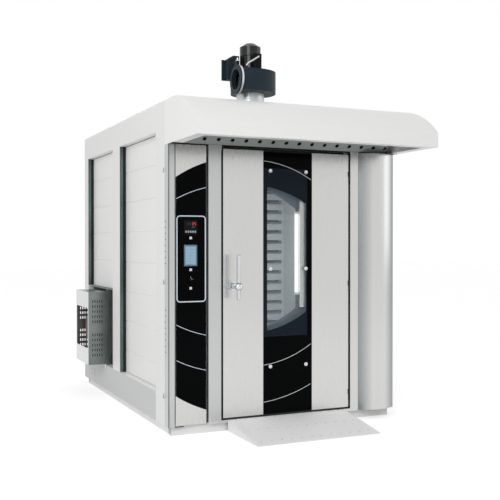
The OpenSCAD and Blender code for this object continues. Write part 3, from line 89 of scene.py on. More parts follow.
class FinishSettings(bpy.types.PropertyGroup):
    """Colours of the oven's own finishes."""

    stainless: paint("Stainless steel", "Brushed front and door", "#cccccb")
    side_paint: paint("Side sheets", "Coated pillars and rails of the sides", "#f2f2f1")
    panel_paint: paint("Bay panels", "Coated panels between the pillars", "#f7f7f6")
    hood_paint: paint("Hood", "Coated steam hood and its end caps", "#f8f8f7")
    black: paint("Black enamel", "Enamel printed on the back of the glass", "#030405")
    slate: paint("Tinted glass", "Tint around the door's window", "#17202a")
    silver: paint("Printed lines", "Silver lines printed on the door's glass", "#e6eaec")
    pale_blue: paint("Control lines", "Lines printed on the control glass", "#d6e2ec")
    blower: paint("Blower", "Powder coat of the exhaust blower", "#27333a")
    motor: paint("Motor", "Powder coat of the blower's motor", "#0b0d0f")
    cable: paint("Motor lead", "Sheath of the motor lead", "#e4e6e8")
    screen: paint("Screen", "Lit face of the touch display", "#86abc1")
    lamp: paint("Door lamp", "Lit tube of the door lamp", "#f6fafc")


class DoorSettings(bpy.types.PropertyGroup):
    """Sizes of the door's printed and turned pieces."""

    line: length("Arc width", "Width of a printed arc", 3)
    window_left: length("Window left", "Left edge of the clear window", -161)
    window_right: length("Window right", "Right edge of the clear window", 152)
    tint_right: length("Tint right", "Right edge of the tinted field", 160)
    tint_low: length("Tint low", "Lower edge of the tinted field", 644)
    tint_top: length("Tint top", "Upper edge of the tinted field", 1844)
    border_right: length("Inner border", "Right edge of the opening in the inner pane's border", 97)
    button: length("Glass button", "Diameter of a button that holds the glass", 28)


class ControlSettings(bpy.types.PropertyGroup):
    """Sizes of what is printed and fitted on the control column."""

    line: length("Line width", "Width of a printed line", 4)
    border: length("Frame width", "Width of the printed frame around the controls", 8)
    radius: length("Frame corner", "Corner radius of the printed frame", 26)
    digit: length("Digit height", "Height of the large digits", 20)


class BlowerSettings(bpy.types.PropertyGroup):
    """Sizes of the fittings on the exhaust blower."""

    lead: length("Lead", "Diameter of the motor lead", 11)
    bolt: length("Bolt", "Width across a bolt head", 13)


class StageSettings(bpy.types.PropertyGroup):
    """The plain room around the oven."""

    floor: paint("Floor", "Pale floor", "#f4f4f4")
    key: power("Key light", "Power of the large soft lamp", 260)
    fill: power("Fill light", "Power of the weak soft lamp", 42)
    chamber: power("Chamber light", "Power of the two lamps inside", 16)
    lens: bpy.props.FloatProperty(
        name="Lens", description="Focal length of the camera in mm", default=60.05, min=1
    )


# ---------- tools of the workshop ----------


def pick_nothing():
    """Leaves edit mode and selects nothing."""
    if bpy.context.object and bpy.context.object.mode != "OBJECT":
        bpy.ops.object.mode_set(mode="OBJECT")
    bpy.ops.object.select_all(action="DESELECT")


def pick(*pieces):
    """Selects these pieces alone, the last one active."""
    pick_nothing()
    for piece in pieces:
        piece.select_set(True)
        bpy.context.view_layer.objects.active = piece


def settle(piece, name):
    """Names a new piece and puts its place into its mesh."""
    pick(piece)
    bpy.ops.object.transform_apply(location=True, rotation=True, scale=True)
    piece.name = piece.data.name = name
    return piece


def plate(name, low, high):
    """A plate between two corners."""
    low, high = Vector(low), Vector(high)
    pick_nothing()
    bpy.ops.mesh.primitive_cube_add(size=1, location=(low + high) / 2, scale=high - low)
    return settle(bpy.context.object, name)


def bar(name, start, end, radius, sides=32):
    """A round bar from one point to another."""
    start, end = Vector(start), Vector(end)
    turn = (end - start).to_track_quat("Z", "Y").to_euler()
    pick_nothing()
    bpy.ops.mesh.primitive_cylinder_add(
        radius=radius, depth=(end - start).length, vertices=sides, location=(start + end) / 2, rotation=turn
    )
    return settle(bpy.context.object, name)


def enter(piece, action="SELECT"):
    """Goes into edit mode with everything selected, or nothing."""
    pick(piece)
    bpy.ops.object.mode_set(mode="EDIT")
    bpy.ops.mesh.select_all(action=action)


def choose(piece, wanted, kind="EDGE"):
    """Goes into edit mode with those edges or faces selected for which wanted(middle, direction) is true."""
    enter(piece, "DESELECT")
    bpy.ops.mesh.select_mode(type=kind)
    mesh = bmesh.from_edit_mesh(piece.data)
    for part in mesh.edges if kind == "EDGE" else mesh.faces:
        if kind == "EDGE":
            ends = [v.co for v in part.verts]
            middle, direction = (ends[0] + ends[1]) / 2, (ends[1] - ends[0]).normalized()
        else:
            middle, direction = part.calc_center_median(), part.normal
        if wanted(middle, direction):
            part.select_set(True)
    bmesh.update_edit_mesh(piece.data)


def leave():
    """Goes back to object mode."""
    bpy.ops.object.mode_set(mode="OBJECT")


def soften(piece, width, segments=2, angle=40):
    """Rounds a piece's sharp edges."""
    edges = piece.modifiers.new("rounding", "BEVEL")
    edges.width, edges.segments, edges.angle_limit = width, segments, math.radians(angle)
    pick(piece)
    bpy.ops.object.modifier_apply(modifier=edges.name)
    smooth(piece)
    return piece


def smooth(piece, angle=40):
    """Shades a piece smooth up to an angle."""
    pick(piece)
    bpy.ops.object.shade_smooth_by_angle(angle=math.radians(angle))
    return piece


def carve(piece, cutter, how="DIFFERENCE"):
    """Cuts a piece with another one, or keeps what they share."""
    change = piece.modifiers.new("carving", "BOOLEAN")
    change.operation, change.object, change.solver = how, cutter, "EXACT"
    pick(piece)
    bpy.ops.object.modifier_apply(modifier=change.name)
    bpy.data.objects.remove(cutter)
    return piece


def twin(piece, name, by=(0, 0, 0)):
    """A copy with its own mesh, moved by a distance."""
    pick(piece)
    bpy.ops.object.duplicate()
    copy = bpy.context.object
    copy.location = Vector(by)
    return settle(copy, name)


def join(name, *pieces):
    """Makes one piece of several."""
    pick(*pieces)
    bpy.ops.object.join()
    joined = bpy.context.object
    joined.name = joined.data.name = name
    return joined


def heal(piece):
    """Merges doubles and turns all faces outwards."""
    enter(piece)
    bpy.ops.mesh.remove_doubles(threshold=1e-6)
    bpy.ops.mesh.normals_make_consistent(inside=False)
    leave()
    return piece


def fit(piece, body, slot, *stands_for):
    """Puts a piece on its body, hides the nodes that it stands for, and checks that it is closed. Its slot is
    not used.
    """
    mesh = bmesh.new()
    mesh.from_mesh(piece.data)
    loose = sum(1 for edge in mesh.edges if not edge.is_manifold)
    mesh.free()
    if loose:
        raise RuntimeError(f"{piece.name} has {loose} open edges")
    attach(piece, body)
    if stands_for:
        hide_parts(*stands_for)
    return piece


def wear(piece, material):
    """Gives a piece one finish, by its name."""
    piece.data.materials.clear()
    piece.data.materials.append(finishes[material])
    return piece


def dress(piece, material, body, slot, *stands_for):
    """Gives a piece its finish and fits it."""
    return fit(wear(piece, material), body, slot, *stands_for)


# ---------- finishes ----------


# top of the sides' foot rail and its front end, in metres
RAIL_TOP, RAIL_FRONT = 0.2658, -0.494
# every finish by name, made by the first step
finishes = {}


def add_node(tree, kind, settings=None):
    """Adds a shader node, and sets its attributes and sockets or links them to other nodes' outputs."""
    node = tree.nodes.new("ShaderNode" + kind)
    for key, value in (settings or {}).items():
        if isinstance(value, bpy.types.NodeSocket):
            tree.links.new(value, node.inputs[key])
        elif isinstance(key, str) and hasattr(node, key):
            setattr(node, key, value)
        else:
            node.inputs[key].default_value = value
    return node


def calc(tree, operation, *values):
    """What a Math node makes of numbers and other nodes' outputs."""
    return add_node(tree, "Math", {"operation": operation, **dict(enumerate(values))}).outputs["Value"]


def grain(tree, size, detail=2.0):
    """Noise whose features measure size in mm, the same all round or along X, Y and Z."""
    sizes = size if isinstance(size, tuple) else (size,) * 3
    place = add_node(tree, "TexCoord").outputs["Object"]
    stretch = add_node(tree, "Mapping", {"Scale": [1000 / s for s in sizes], "Vector": place})
    noise = {"Scale": 1.0, "Detail": detail, "Vector": stretch.outputs["Vector"]}
    return add_node(tree, "TexNoise", noise).outputs["Fac"]


def spread(tree, source, low, high, from_low=0.3, from_high=0.7):
    """Stretches a pattern to run from low to high."""
    ends = {"From Min": from_low, "From Max": from_high, "To Min": low, "To Max": high}
    return add_node(tree, "MapRange", {**ends, "Value": source}).outputs["Result"]


def finish(name, colour, rough, size, depth=0.0, shade=0.04, patch=500, scuff=0.05, sockets=None):
    """A surface with a fine grain of that size in mm, raised by depth in mm, and broad patches of shade.

    The grain also varies the roughness, and scuff says by how much.
    """
    colour = linear(colour)
    material = bpy.data.materials.new(name)
    material.use_nodes = True
    tree = material.node_tree
    shader = tree.nodes["Principled BSDF"]
    for socket, value in (sockets or {}).items():
        shader.inputs[socket].default_value = value
    fine = grain(tree, size)
    broad = grain(tree, patch, 3.0)
    tone = spread(tree, calc(tree, "MULTIPLY_ADD", fine, 0.35, broad), 0.0, 1.0, 0.45, 0.9)
    tones = [[min(c * share, 1) for c in colour[:3]] + [1] for share in (1 - shade, 1 + shade)]
    mix = add_node(tree, "Mix", {"data_type": "RGBA", 0: tone, 6: tones[0], 7: tones[1]})
    tree.links.new(mix.outputs[2], shader.inputs["Base Color"])
    tree.links.new(spread(tree, fine, max(rough - scuff, 0.02), rough + scuff), shader.inputs["Roughness"])
    if depth:
        bump = add_node(tree, "Bump", {"Strength": 1.0, "Distance": depth / 1000, "Height": fine})
        tree.links.new(bump.outputs["Normal"], shader.inputs["Normal"])
    return material


def pane(name, colour, alpha, rough=0.03, specular=0.5):
    """Glass with that tint, seen through as far as alpha lets, with faint wipe marks."""
    sockets = {"Alpha": alpha, "IOR": 1.52, "Specular IOR Level": specular}
    return finish(name, colour, rough, (60, 60, 160), shade=0.12, scuff=0.015, sockets=sockets)


def glow(name, colour, strength):
    """A lit surface with a slight unevenness."""
    sockets = {"Emission Color": linear(colour), "Emission Strength": strength}
    return finish(name, colour, 0.3, (30, 30, 60), shade=0.03, sockets=sockets)


def spangled(name, colour):
    """Hot-dip galvanised sheet: zinc crystals about 14 mm across, each with its own tone."""
    material = finish(name, colour, 0.38, 4, depth=0.02, shade=0.05, sockets={"Metallic": 1.0})
    tree = material.node_tree
    place = add_node(tree, "TexCoord").outputs["Object"]
    crystals = add_node(tree, "TexVoronoi", {"Scale": 1000 / 14, "Vector": place})
    tone = spread(tree, crystals.outputs["Color"], 0.28, 0.52, 0.0, 1.0)
    tree.links.new(tone, tree.nodes["Principled BSDF"].inputs["Roughness"])
    return material


def tinged(material, colour, share):
    """Lays another colour over a finish, by a share from 0 to 1."""
    tree = material.node_tree
    socket = tree.nodes["Principled BSDF"].inputs["Base Color"]
    worn = socket.links[0].from_socket
    mix = add_node(tree, "Mix", {"data_type": "RGBA", 0: share, 6: worn, 7: linear(colour)})
    tree.links.new(mix.outputs[2], socket)
    return material


def axes(tree, coordinate):
    """X, Y and Z of a place on a piece, or of the way that its surface faces."""
    place = add_node(tree, "TexCoord").outputs[coordinate]
    return add_node(tree, "SeparateXYZ", {0: place}).outputs


def painted_side_light(material, colour, low=0.3, high=0.7):
    """Paints light and shade by facing: turns the colour towards another on faces that look out to the oven's
    sides.

    The change runs from a sideways lean of low to one of high, where 1 faces straight to the side.
    """
    tree = material.node_tree
    lean = calc(tree, "ABSOLUTE", axes(tree, "Normal")["X"])
    return tinged(material, colour, spread(tree, lean, 0, 1, low, high))


def footed(material, colour, height, front):
    """Gives another colour to what lies below a height and behind a depth, both in metres."""
    tree = material.node_tree
    at = axes(tree, "Object")
    below = calc(tree, "LESS_THAN", at["Z"], height)
    behind = calc(tree, "GREATER_THAN", at["Y"], front)
    return tinged(material, colour, calc(tree, "MULTIPLY", below, behind))


def make_finishes(chosen):
    """Every finish of the oven, by name."""
    metal = {"Metallic": 1.0}
    satin = {"Metallic": 1.0, "Anisotropic": 0.4}

    def brushed(name, colour, rough=0.26, shade=0.008):
        # stainless steel, rolled upright: fine streaks drawn 2 mm wide so that they show
        return finish(name, colour, rough, (2, 2, 600), 0.0005, shade, 900, 0.03, satin)

    def shade_rolled(name, colour, rough, shade):
        # bare rolled steel with long streaks, darkened as painted shade
        return finish(name, colour, rough, (5, 5, 300), 0.004, shade, 260, 0.06, satin)

    def coated(name, colour, rough=0.42, depth=0.01, shade=0.012):
        # powder-coated sheet: smooth, with a faint orange peel 2 mm across
        return finish(name, colour, rough, 2, depth, shade, 900, 0.04)

    def moulded(name, colour, rough, depth=0.01, shade=0.05):
        # small moulded pieces with a spark-eroded texture 1 mm across
        return finish(name, colour, rough, 1, depth, shade, 40, 0.05)

    def printed(name, colour, sockets=None):
        # ink on glass, slightly uneven
        return finish(name, colour, 0.4, 3, 0.0, 0.05, 60, 0.05, sockets)

    return {
        "steel_upright": brushed("brushed_stainless_upright", chosen.stainless),
        # the posts beside the controls, of a slightly duller sheet
        "steel_post": brushed("brushed_stainless_post", "#bfc0c0", 0.3, 0.01),
        # the bow panel, rolled to a curve: its darker flanks are painted reflection of dark surroundings
        "steel_bow": painted_side_light(brushed("rolled_stainless_bow", chosen.stainless), "#7d8284", 0.2, 0.62),
        # the same sheet with its grain across
        "steel_across": finish(
            "brushed_stainless_across", chosen.stainless, 0.28, (600, 2, 2), 0.0006, 0.018, 700, 0.03, satin
        ),
        # the strip over the door, in a duller grade with its grain across, darkened further as painted shade
        # of the hood above; also the ramp dimples' rims
        "dull_steel_and_painted_shade": finish(
            "shade_darkened_stainless_strip", "#888d8b", 0.5, (500, 2, 2), 0.001, 0.04, 400, 0.05, {"Metallic": 0.5}
        ),
        # the sides' frames, whose wide foot rail has a greyer coat
        "side_frame_paint": footed(
            coated("powder_coated_side_frame", chosen.side_paint), "#cfd0d0", RAIL_TOP, RAIL_FRONT
        ),
        # bare inner sides of the pillars, and the same sides where they meet the panels, darker still:
        # painted shade; the lighter one also colours screws
        "dark_steel_and_painted_shade": shade_rolled("dark_rolled_steel", "#66706f", 0.3, 0.25),
        "deep_painted_shade": shade_rolled("painted_deep_shade_steel", "#2a3433", 0.35, 0.2),
        # the burner's guard: its outer side is painted lighter, as painted light
        "steel_guard": painted_side_light(
            finish("perforated_stainless_guard", "#8c9391", 0.32, (4, 4, 200), 0.002, 0.14, 220, 0.06, satin),
            "#d9dad9",
        ),
        # the ramp's sheet: pale, with wheel marks along its length
        "steel_ramp": finish("pressed_stainless_ramp", "#ffffff", 0.55, (5, 220, 5), 0.01, 0.012, 300, 0.1),
        # white coat of the base frame, smooth and matt
        "base_white": coated("white_base_coat", "#fdfdfd", 0.6, 0.005, 0.01),
        "side_paint": coated("powder_coated_frame", chosen.side_paint),
        "panel_paint": coated("powder_coated_panel", chosen.panel_paint, 0.46),
        "hood_paint": coated("powder_coated_hood", chosen.hood_paint, 0.4, 0.008, 0.01),
        # black coat of the rail that the door closes under, also for rubber in shade; on the hinges and the
        # vent backings the black is painted shade
        "black_coat_and_painted_shade": finish("matt_black_and_painted_shade", "#0a0b0c", 0.6, 3, 0.02, 0.1, 200, 0.08),
        "cement": finish("cement_board", "#b9b6b0", 0.9, 3, 0.3, 0.1, 120, 0.05),
        "zinc": spangled("galvanised_sheet", "#c3c6c7"),
        # mineral wool: long pale fibres, matt
        "wool": finish("mineral_wool", "#cfc8ae", 0.95, (2, 14, 2), 0.8, 0.2, 60, 0.03),
        # heat-resistant steel, scaled brown and blue by the burner
        "heat_steel": finish("scaled_heat_steel", "#7a726a", 0.5, (9, 9, 30), 0.06, 0.25, 180, 0.12, metal),
        "burner_red": finish("gloss_burner_paint", "#5e211c", 0.28, 2, 0.01, 0.03, 200, 0.04),
        "niche": finish("matt_niche_paint", "#7e8786", 0.6, 3, 0.03, 0.1, 150, 0.08),
        # grey cast iron, sand-cast: 3 mm pebbled skin
        "cast": finish("cast_iron", "#56575a", 0.7, 3, 0.25, 0.12, 80, 0.08, {"Metallic": 0.6}),
        "drive_blue": finish("drive_paint", "#33506e", 0.4, 3, 0.02, 0.05, 150, 0.06),
        # powder-coated steel of the blower, blue-grey with a soft sheen
        "blower": finish(
            "blower_powder_coat", chosen.blower, 0.42, 2.5, 0.02, 0.1, 150, 0.06, {"Specular IOR Level": 0.1}
        ),
        "motor": finish(
            "motor_paint", chosen.motor, 0.2, 3, 0.008, 0.15, 120, 0.06, {"Specular IOR Level": 0.4}
        ),
        "aluminium": finish("cast_aluminium", "#d5d8da", 0.38, 4, 0.03, 0.06, 60, 0.08, metal),
        # moulded black ABS with a spark-eroded texture 1 mm across
        "plastic": finish(
            "moulded_black_abs", "#08090a", 0.42, 1, 0.01, 0.1, 60, 0.06, {"Specular IOR Level": 0.12}
        ),
        "cable": finish("pvc_cable_sheath", chosen.cable, 0.45, 3, 0.02, 0.04, 60, 0.05),
        # black ceramic enamel fired on the back of toughened glass: near black, weak reflections
        "enamel": finish(
            "black_enamelled_glass", chosen.black, 0.08, (70, 70, 160), 0.0, 0.2, 400, 0.02,
            {"Specular IOR Level": 0.03},
        ),
        "slate": pane("tinted_slate_glass", chosen.slate, 0.95, 0.05, 0.06),
        "window": pane("clear_toughened_glass", "#9fb0b6", 0.1, 0.03, 0.15),
        "inner_pane": pane("clear_inner_glass", "#aab8bd", 0.08, 0.03, 0.15),
        "rim": finish("grey_enamelled_rim", "#4f5f67", 0.2, (60, 60, 160), 0.0, 0.1, 200, 0.03),
        "seal": finish("silicone_seal", "#2b2c2d", 0.65, 2, 0.05, 0.1, 80, 0.05),
        "lamp": glow("lit_opal_tube", chosen.lamp, 1.2),
        # sheet of the chamber, dulled by steam and heat, so it scatters most of the lamp's light
        "steel_chamber": finish(
            "steamed_chamber_sheet", "#c6cacb", 0.42, (5, 5, 300), 0.004, 0.05, 500, 0.06, {"Metallic": 0.35}
        ),
        # polished stainless bar and turned studs
        "polished": finish("polished_stainless", "#d2d4d6", 0.16, (30, 30, 90), 0.0, 0.04, 200, 0.04, metal),
        "screen": glow("lit_screen", chosen.screen, 0.04),
        "silver": printed("silver_print", chosen.silver, {"Metallic": 0.3}),
        "pale_blue": printed("pale_blue_print", chosen.pale_blue),
        "white_key": moulded("white_moulded_key", "#dfe1e4", 0.35, shade=0.03),
        "grey_key": moulded("grey_rubber_key", "#9aa1a6", 0.5),
        "red_light": glow("red_digit", "#c8323c", 0.7),
        "faint_light": moulded("unlit_digit", "#26282b", 0.4, 0.0),
        "green_light": glow("green_digit", "#3d6b48", 0.4),
        "icon": glow("screen_icon", "#8fb4ca", 0.06),
        "screen_edge": moulded("screen_bezel", "#5d7681", 0.35),
    }


NODE_FINISHES = {
    "steel_upright": "hinge_strip door_skins control_tray flue_pipe",
    "steel_post": "strike_pillar left_corner_post",
    "steel_bow": "bow_panel",
    "base_white": "base_frame",
    "steel_chamber": "chamber_walls chamber_ceiling air_grilles",
    "dull_steel_and_painted_shade": "steam_strip",
    "steel_guard": "burner_shroud",
    # the hinges and their brackets are black as painted shade, carrying on the dark line of the door's gap
    "black_coat_and_painted_shade": "lintel_rail door_hinges hinge_brackets",
    "steel_across": "floor_plate circulation_impeller steam_damper_blade rack_rotor",
    "steel_ramp": "ramp",
    "side_frame_paint": "side_frames rear_frame",
    "side_paint": "roof_sheets",
    "panel_paint": "wall_panels",
    "hood_paint": "hood_shell hood_end_caps",
    "cement": "floor_slab",
    "zinc": "hood_duct steam_damper_duct blower_collar blower_impeller door_core",
    "wool": "insulation",
    "heat_steel": "heat_walls heat_exchanger",
    "burner_red": "burner",
    "niche": "burner_niche",
    "cast": "steam_generator",
    "drive_blue": "circulation_motor rotor_gearmotor",
    "blower": "blower_scroll blower_bracket",
    "motor": "blower_motor",
    "plastic": "terminal_box controller selector",
    "cable": "motor_lead",
    "enamel": "outer_glass control_glass",
    "inner_pane": "inner_glass",
    "seal": "door_seal",
    "lamp": "door_lamp",
    "polished": "glass_buttons handle_bar handle_spindle",
    "screen": "touch_display",
    "white_key": "upper_key middle_key lower_key",
}


def mm(*values):
    """Millimetres as a point in metres."""
    return Vector([v / 1000 for v in values])


def box_mm(node):
    """A node's lowest and highest corners in millimetres."""
    return [[v * 1000 for v in corner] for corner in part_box(node)]


def keep_in_discs(piece, discs, low, high, gap=0):
    """Keeps what of a piece lies in every upright disc, from Y low to Y high.

    A disc is its centre's X and Z and its radius in mm; gap, in metres, is added to the radius.
    """
    for x, z, radius in discs:
        ends = [(x / 1000, y, z / 1000) for y in (low, high)]
        carve(piece, bar("disc", *ends, (radius + gap * 1000) / 1000, 256), "INTERSECT")
    return piece


def ribbon(name, centre, radius, left, right, upper, width, front, proud=0.0004):
    """A printed line that follows an arc from X left to X right, on a face at Y front."""
    cx, cz, radius = centre[0] / 1000, centre[1] / 1000, radius / 1000
    sign = 1 if upper else -1
    angles = [math.acos((x / 1000 - cx) / radius) * sign for x in (left, right)]
    start = (cx + radius * math.cos(angles[0]), front - proud / 2, cz + radius * math.sin(angles[0]))
    pick_nothing()
    bpy.ops.mesh.primitive_plane_add(size=1, location=start, rotation=(0, -angles[0], 0))
    piece = bpy.context.object
    piece.scale = (width, proud, 1)
    enter(settle(piece, name))
    bpy.ops.mesh.spin(
        steps=48, angle=angles[1] - angles[0], center=(cx, front, cz), axis=(0, 1, 0), use_auto_merge=False
    )
    leave()
    return heal(piece)


def rounded(name, low, high, radius, segments=8, shaded=True):
    """A plate whose corners are rounded as seen from the front."""
    piece = plate(name, low, high)
    choose(piece, lambda middle, way: abs(way.y) > 0.9)
    bpy.ops.mesh.bevel(offset=radius, segments=segments, affect="EDGES")
    leave()
    return smooth(piece, 30) if shaded else piece


def button(name, x, z, back, radius, height):
    """A turned stainless button with a rounded rim and a dished face, standing on Y back."""
    piece = bar(name, (x, back, z), (x, back - height, z), radius, 48)
    choose(piece, lambda middle, way: way.y < -0.9, "FACE")
    bpy.ops.mesh.inset(thickness=radius * 0.22)
    bpy.ops.mesh.inset(thickness=radius * 0.08, depth=-height * 0.08)
    leave()
    return soften(piece, height * 0.22, 3, 50)


# ---------- the pieces ----------


class OVEN_OT_finishes(bpy.types.Operator):
    """Gives every node of the frame its finish"""

    bl_idname = "oven.finishes"
    bl_label = "Finishes"

    def execute(self, context):
        finishes.update(make_finishes(context.scene.oven_finish))
        for finish_name, nodes in NODE_FINISHES.items():
            for node in nodes.split():
                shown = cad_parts[node]
                for place in shown.material_slots:
                    place.material = finishes[finish_name]
                if not shown.material_slots:
                    wear(shown, finish_name)
        return {"FINISHED"}


# heights of the buttons that hold the door's glass, and the radius of their holes, in metres
STUD_HEIGHTS, STUD_HOLE = (0.432, 1.127, 1.825), 0.006
# discs that round the ends of the window and of the inner rim: centre's X and Z and radius in mm
WINDOW_DISCS = ((-290, 870, 850), (-300, 1474, 800))
RIM_DISCS = ((-421, 885, 850), (-387, 1477, 800))


class OVEN_OT_door_glass(bpy.types.Operator):
    """Builds the outer pane with its black border, tinted field and clear window, and the inner rim"""

    bl_idname = "oven.door_glass"
    bl_label = "Door glass"

    def execute(self, context):
        sizes = context.scene.oven_door
        low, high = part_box("outer_glass")
        front, back = low.y, high.y
        before, behind = front - 0.01, back + 0.01
        left, right = sizes.window_left - 0.026, sizes.tint_right
        gap = 0.0002

        def window(name, gap):
            piece = plate(name, (sizes.window_left - gap, front, 0.55), (sizes.window_right + gap, back, 1.8))
            return keep_in_discs(piece, WINDOW_DISCS, before, behind, gap)

        border = plate("door_glass", low, high)
        carve(border, plate("field", (left, before, sizes.tint_low), (right, behind, sizes.tint_top)))
        tint = plate(
            "tint", (left + gap, front, sizes.tint_low + gap), (right - gap, back, sizes.tint_top - gap)
        )
        # the window, half as deep again as the pane, cuts its opening in the tint
        opening = window("opening", gap)
        opening.scale = (1, 1.5, 1)
        opening.location.y = -0.5 * (front + back) / 2
        carve(tint, settle(opening, "opening"))
        clear = window("clear", 0)
        for piece, material in ((border, "enamel"), (tint, "slate"), (clear, "window")):
            wear(piece, material)
        for x, z in stud_places():
            carve(border, bar("hole", (x, before, z), (x, behind, z), STUD_HOLE, 24))
        fit(join("door_glass", clear, tint, border), "door", "black_glass", "outer_glass")

        # the grey rim printed on the inner pane, seen through the window
        low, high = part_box("inner_glass")
        face = low.y - 0.0008
        rim = plate("inner_rim", (low.x, face, low.z), (high.x, face + 0.0005, high.z))
        hole = plate("hole", (-0.15, face - 0.01, 0.6), (sizes.border_right, face + 0.01, 1.8))
        carve(rim, keep_in_discs(hole, RIM_DISCS, face - 0.02, face + 0.02))
        dress(rim, "rim", "door", "seal_rubber")
        return {"FINISHED"}


class OVEN_OT_door_lines(bpy.types.Operator):
    """Prints the silver arcs on the outer pane"""

    bl_idname = "oven.door_lines"
    bl_label = "Door lines"

    def execute(self, context):
        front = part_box("outer_glass")[0].y
        width = context.scene.oven_door.line
        # each arc's centre, radius, left and right end, and whether it bulges up
        arcs = (
            ("door_arc_top", (-252, 1046), 850, -185, 191, True),
            ("door_arc_middle", (-275, 1288.7), 850, -190, 191, False),
            ("door_arc_low", (-295, 1274.4), 1100, -190, 188, False),
        )
        for name, *arc in arcs:
            dress(ribbon(name, *arc, width, front), "silver", "door", "stainless")
        return {"FINISHED"}


def stud_places():
    """X and Z of the buttons that hold the door's glass, from their node."""
    low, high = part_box("glass_buttons")
    return [(x, z) for x in (low.x + 0.016, high.x - 0.014) for z in STUD_HEIGHTS]


class OVEN_OT_door_buttons(bpy.types.Operator):
    """Turns the six buttons that hold the outer pane"""

    bl_idname = "oven.door_buttons"
    bl_label = "Glass buttons"

    def execute(self, context):
        radius = context.scene.oven_door.button / 2
        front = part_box("outer_glass")[0].y
        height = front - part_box("glass_buttons")[0].y
        start, *others = stud_places()
        first = button("glass_button_1", *start, front - 0.0003, radius, height - 0.0003)
        dress(first, "polished", "door", "polished", "glass_buttons")
        for number, (x, z) in enumerate(others, 2):
            piece = twin(first, f"glass_button_{number}", (x - start[0], 0, z - start[1]))
            dress(piece, "polished", "door", "polished", "glass_buttons")
        return {"FINISHED"}


class OVEN_OT_door_lamp(bpy.types.Operator):
    """Builds the lit tube, its holders and its ribbed case behind the door's glass"""

    bl_idname = "oven.door_lamp"
    bl_label = "Door lamp"

    def execute(self, context):
        low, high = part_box("door_lamp")
        radius, y = 0.013, -0.732
        x = low.x + 0.002 + radius
        bottom, top = 0.955, 1.521
        tube = soften(bar("lamp_tube", (x, y, bottom), (x, y, top), radius, 40), 0.004, 4)
        dress(tube, "lamp", "door", "lamp_glass", "door_lamp")
        for number, z in enumerate((bottom - 0.018, top + 0.0003), 1):
            reach = radius + 0.002
            start, end = (low.x, y - reach, z), (x + radius + 0.0035, y + reach, z + 0.0177)
            holder = plate(f"lamp_holder_{number}", start, end)
            dress(soften(holder, 0.0015), "white_key", "door", "lamp_glass", "door_lamp")
        slot = low.x * 1000
        strip("lamp_slot", (slot + 2, -741, 848), (slot + 23, -739, 934), "rim", "door")
        left = x + radius + 0.004
        case = plate("lamp_case", (left, low.y, low.z), (high.x, high.y, high.z))
        # ribs pressed into the side that is seen through the glass
        for number in range(5):
            groove = left + 0.010 + number * 0.014
            start = (groove, low.y - 0.001, low.z + 0.012)
            carve(case, plate("groove", start, (groove + 0.004, low.y + 0.003, high.z - 0.012)))
        dress(soften(case, 0.0008), "steel_upright", "door", "stainless", "door_lamp")
        return {"FINISHED"}


def strip(name, low, high, material, body="cabinet", slot="stainless"):
    """A plain strip with broken edges, given in mm."""
    return dress(soften(plate(name, mm(*low), mm(*high)), 0.0004, 1), material, body, slot)


class OVEN_OT_pillar_sides(bpy.types.Operator):
    """Lines the pillars' inner sides with strips of painted shade and the burner's guard with a painted
    lighter side, and puts its screws on the foot rail
    """

    bl_idname = "oven.pillar_sides"
    bl_label = "Pillar sides"

    def execute(self, context):
        niche_low, niche_high = box_mm("burner_niche")
        panels_low, panels_high = box_mm("wall_panels")
        low, high = niche_low[2] + 1, panels_high[2]
        # the rear end of the front bay, which starts 12 behind the panels' edge and is 947 long
        front = panels_low[1] + 12 + 947
        # the outer and inner strips are lit and shaded copies of one steel: painted shade, deeper inside
        zones = (("outer", (899.5, 874), "dark_steel_and_painted_shade"), ("inner", (873.8, 848.6), "deep_painted_shade"))
        for side, sign in (("left", -1), ("right", 1)):
            rear_foot = niche_high[2] + 4 if sign < 0 else low
            for place, y, foot in (("front", front, low), ("rear", niche_high[1], rear_foot)):
                for part, ends, material in zones:
                    x = sorted((ends[0] * sign, ends[1] * sign))
                    name = f"pillar_side_{place}_{side}_{part}"
                    strip(name, (x[0], y - 1.1, foot), (x[1], y - 0.3, high), material)
        y, foot, top = box_mm("burner_shroud")[0][1], niche_low[2], niche_high[2]
        strip("burner_guard", (-899.7, y + 0.3, foot + 4), (-740, y + 1.8, top - 4), "steel_guard")
        strip("guard_backing", (-1050, y + 2.6, foot + 10), (-902, y + 3.4, top - 30), "black_coat_and_painted_shade")
        for number, (y, z) in enumerate(((1298, 166), (1298, 125), (1401, 166), (1401, 125)), 1):
            screw = bar(f"rail_screw_{number}", mm(-900.1, y, z), mm(-902.1, y, z), 0.006, 20)
            dress(soften(screw, 0.0008), "dark_steel_and_painted_shade", "cabinet", "stainless")
        return {"FINISHED"}


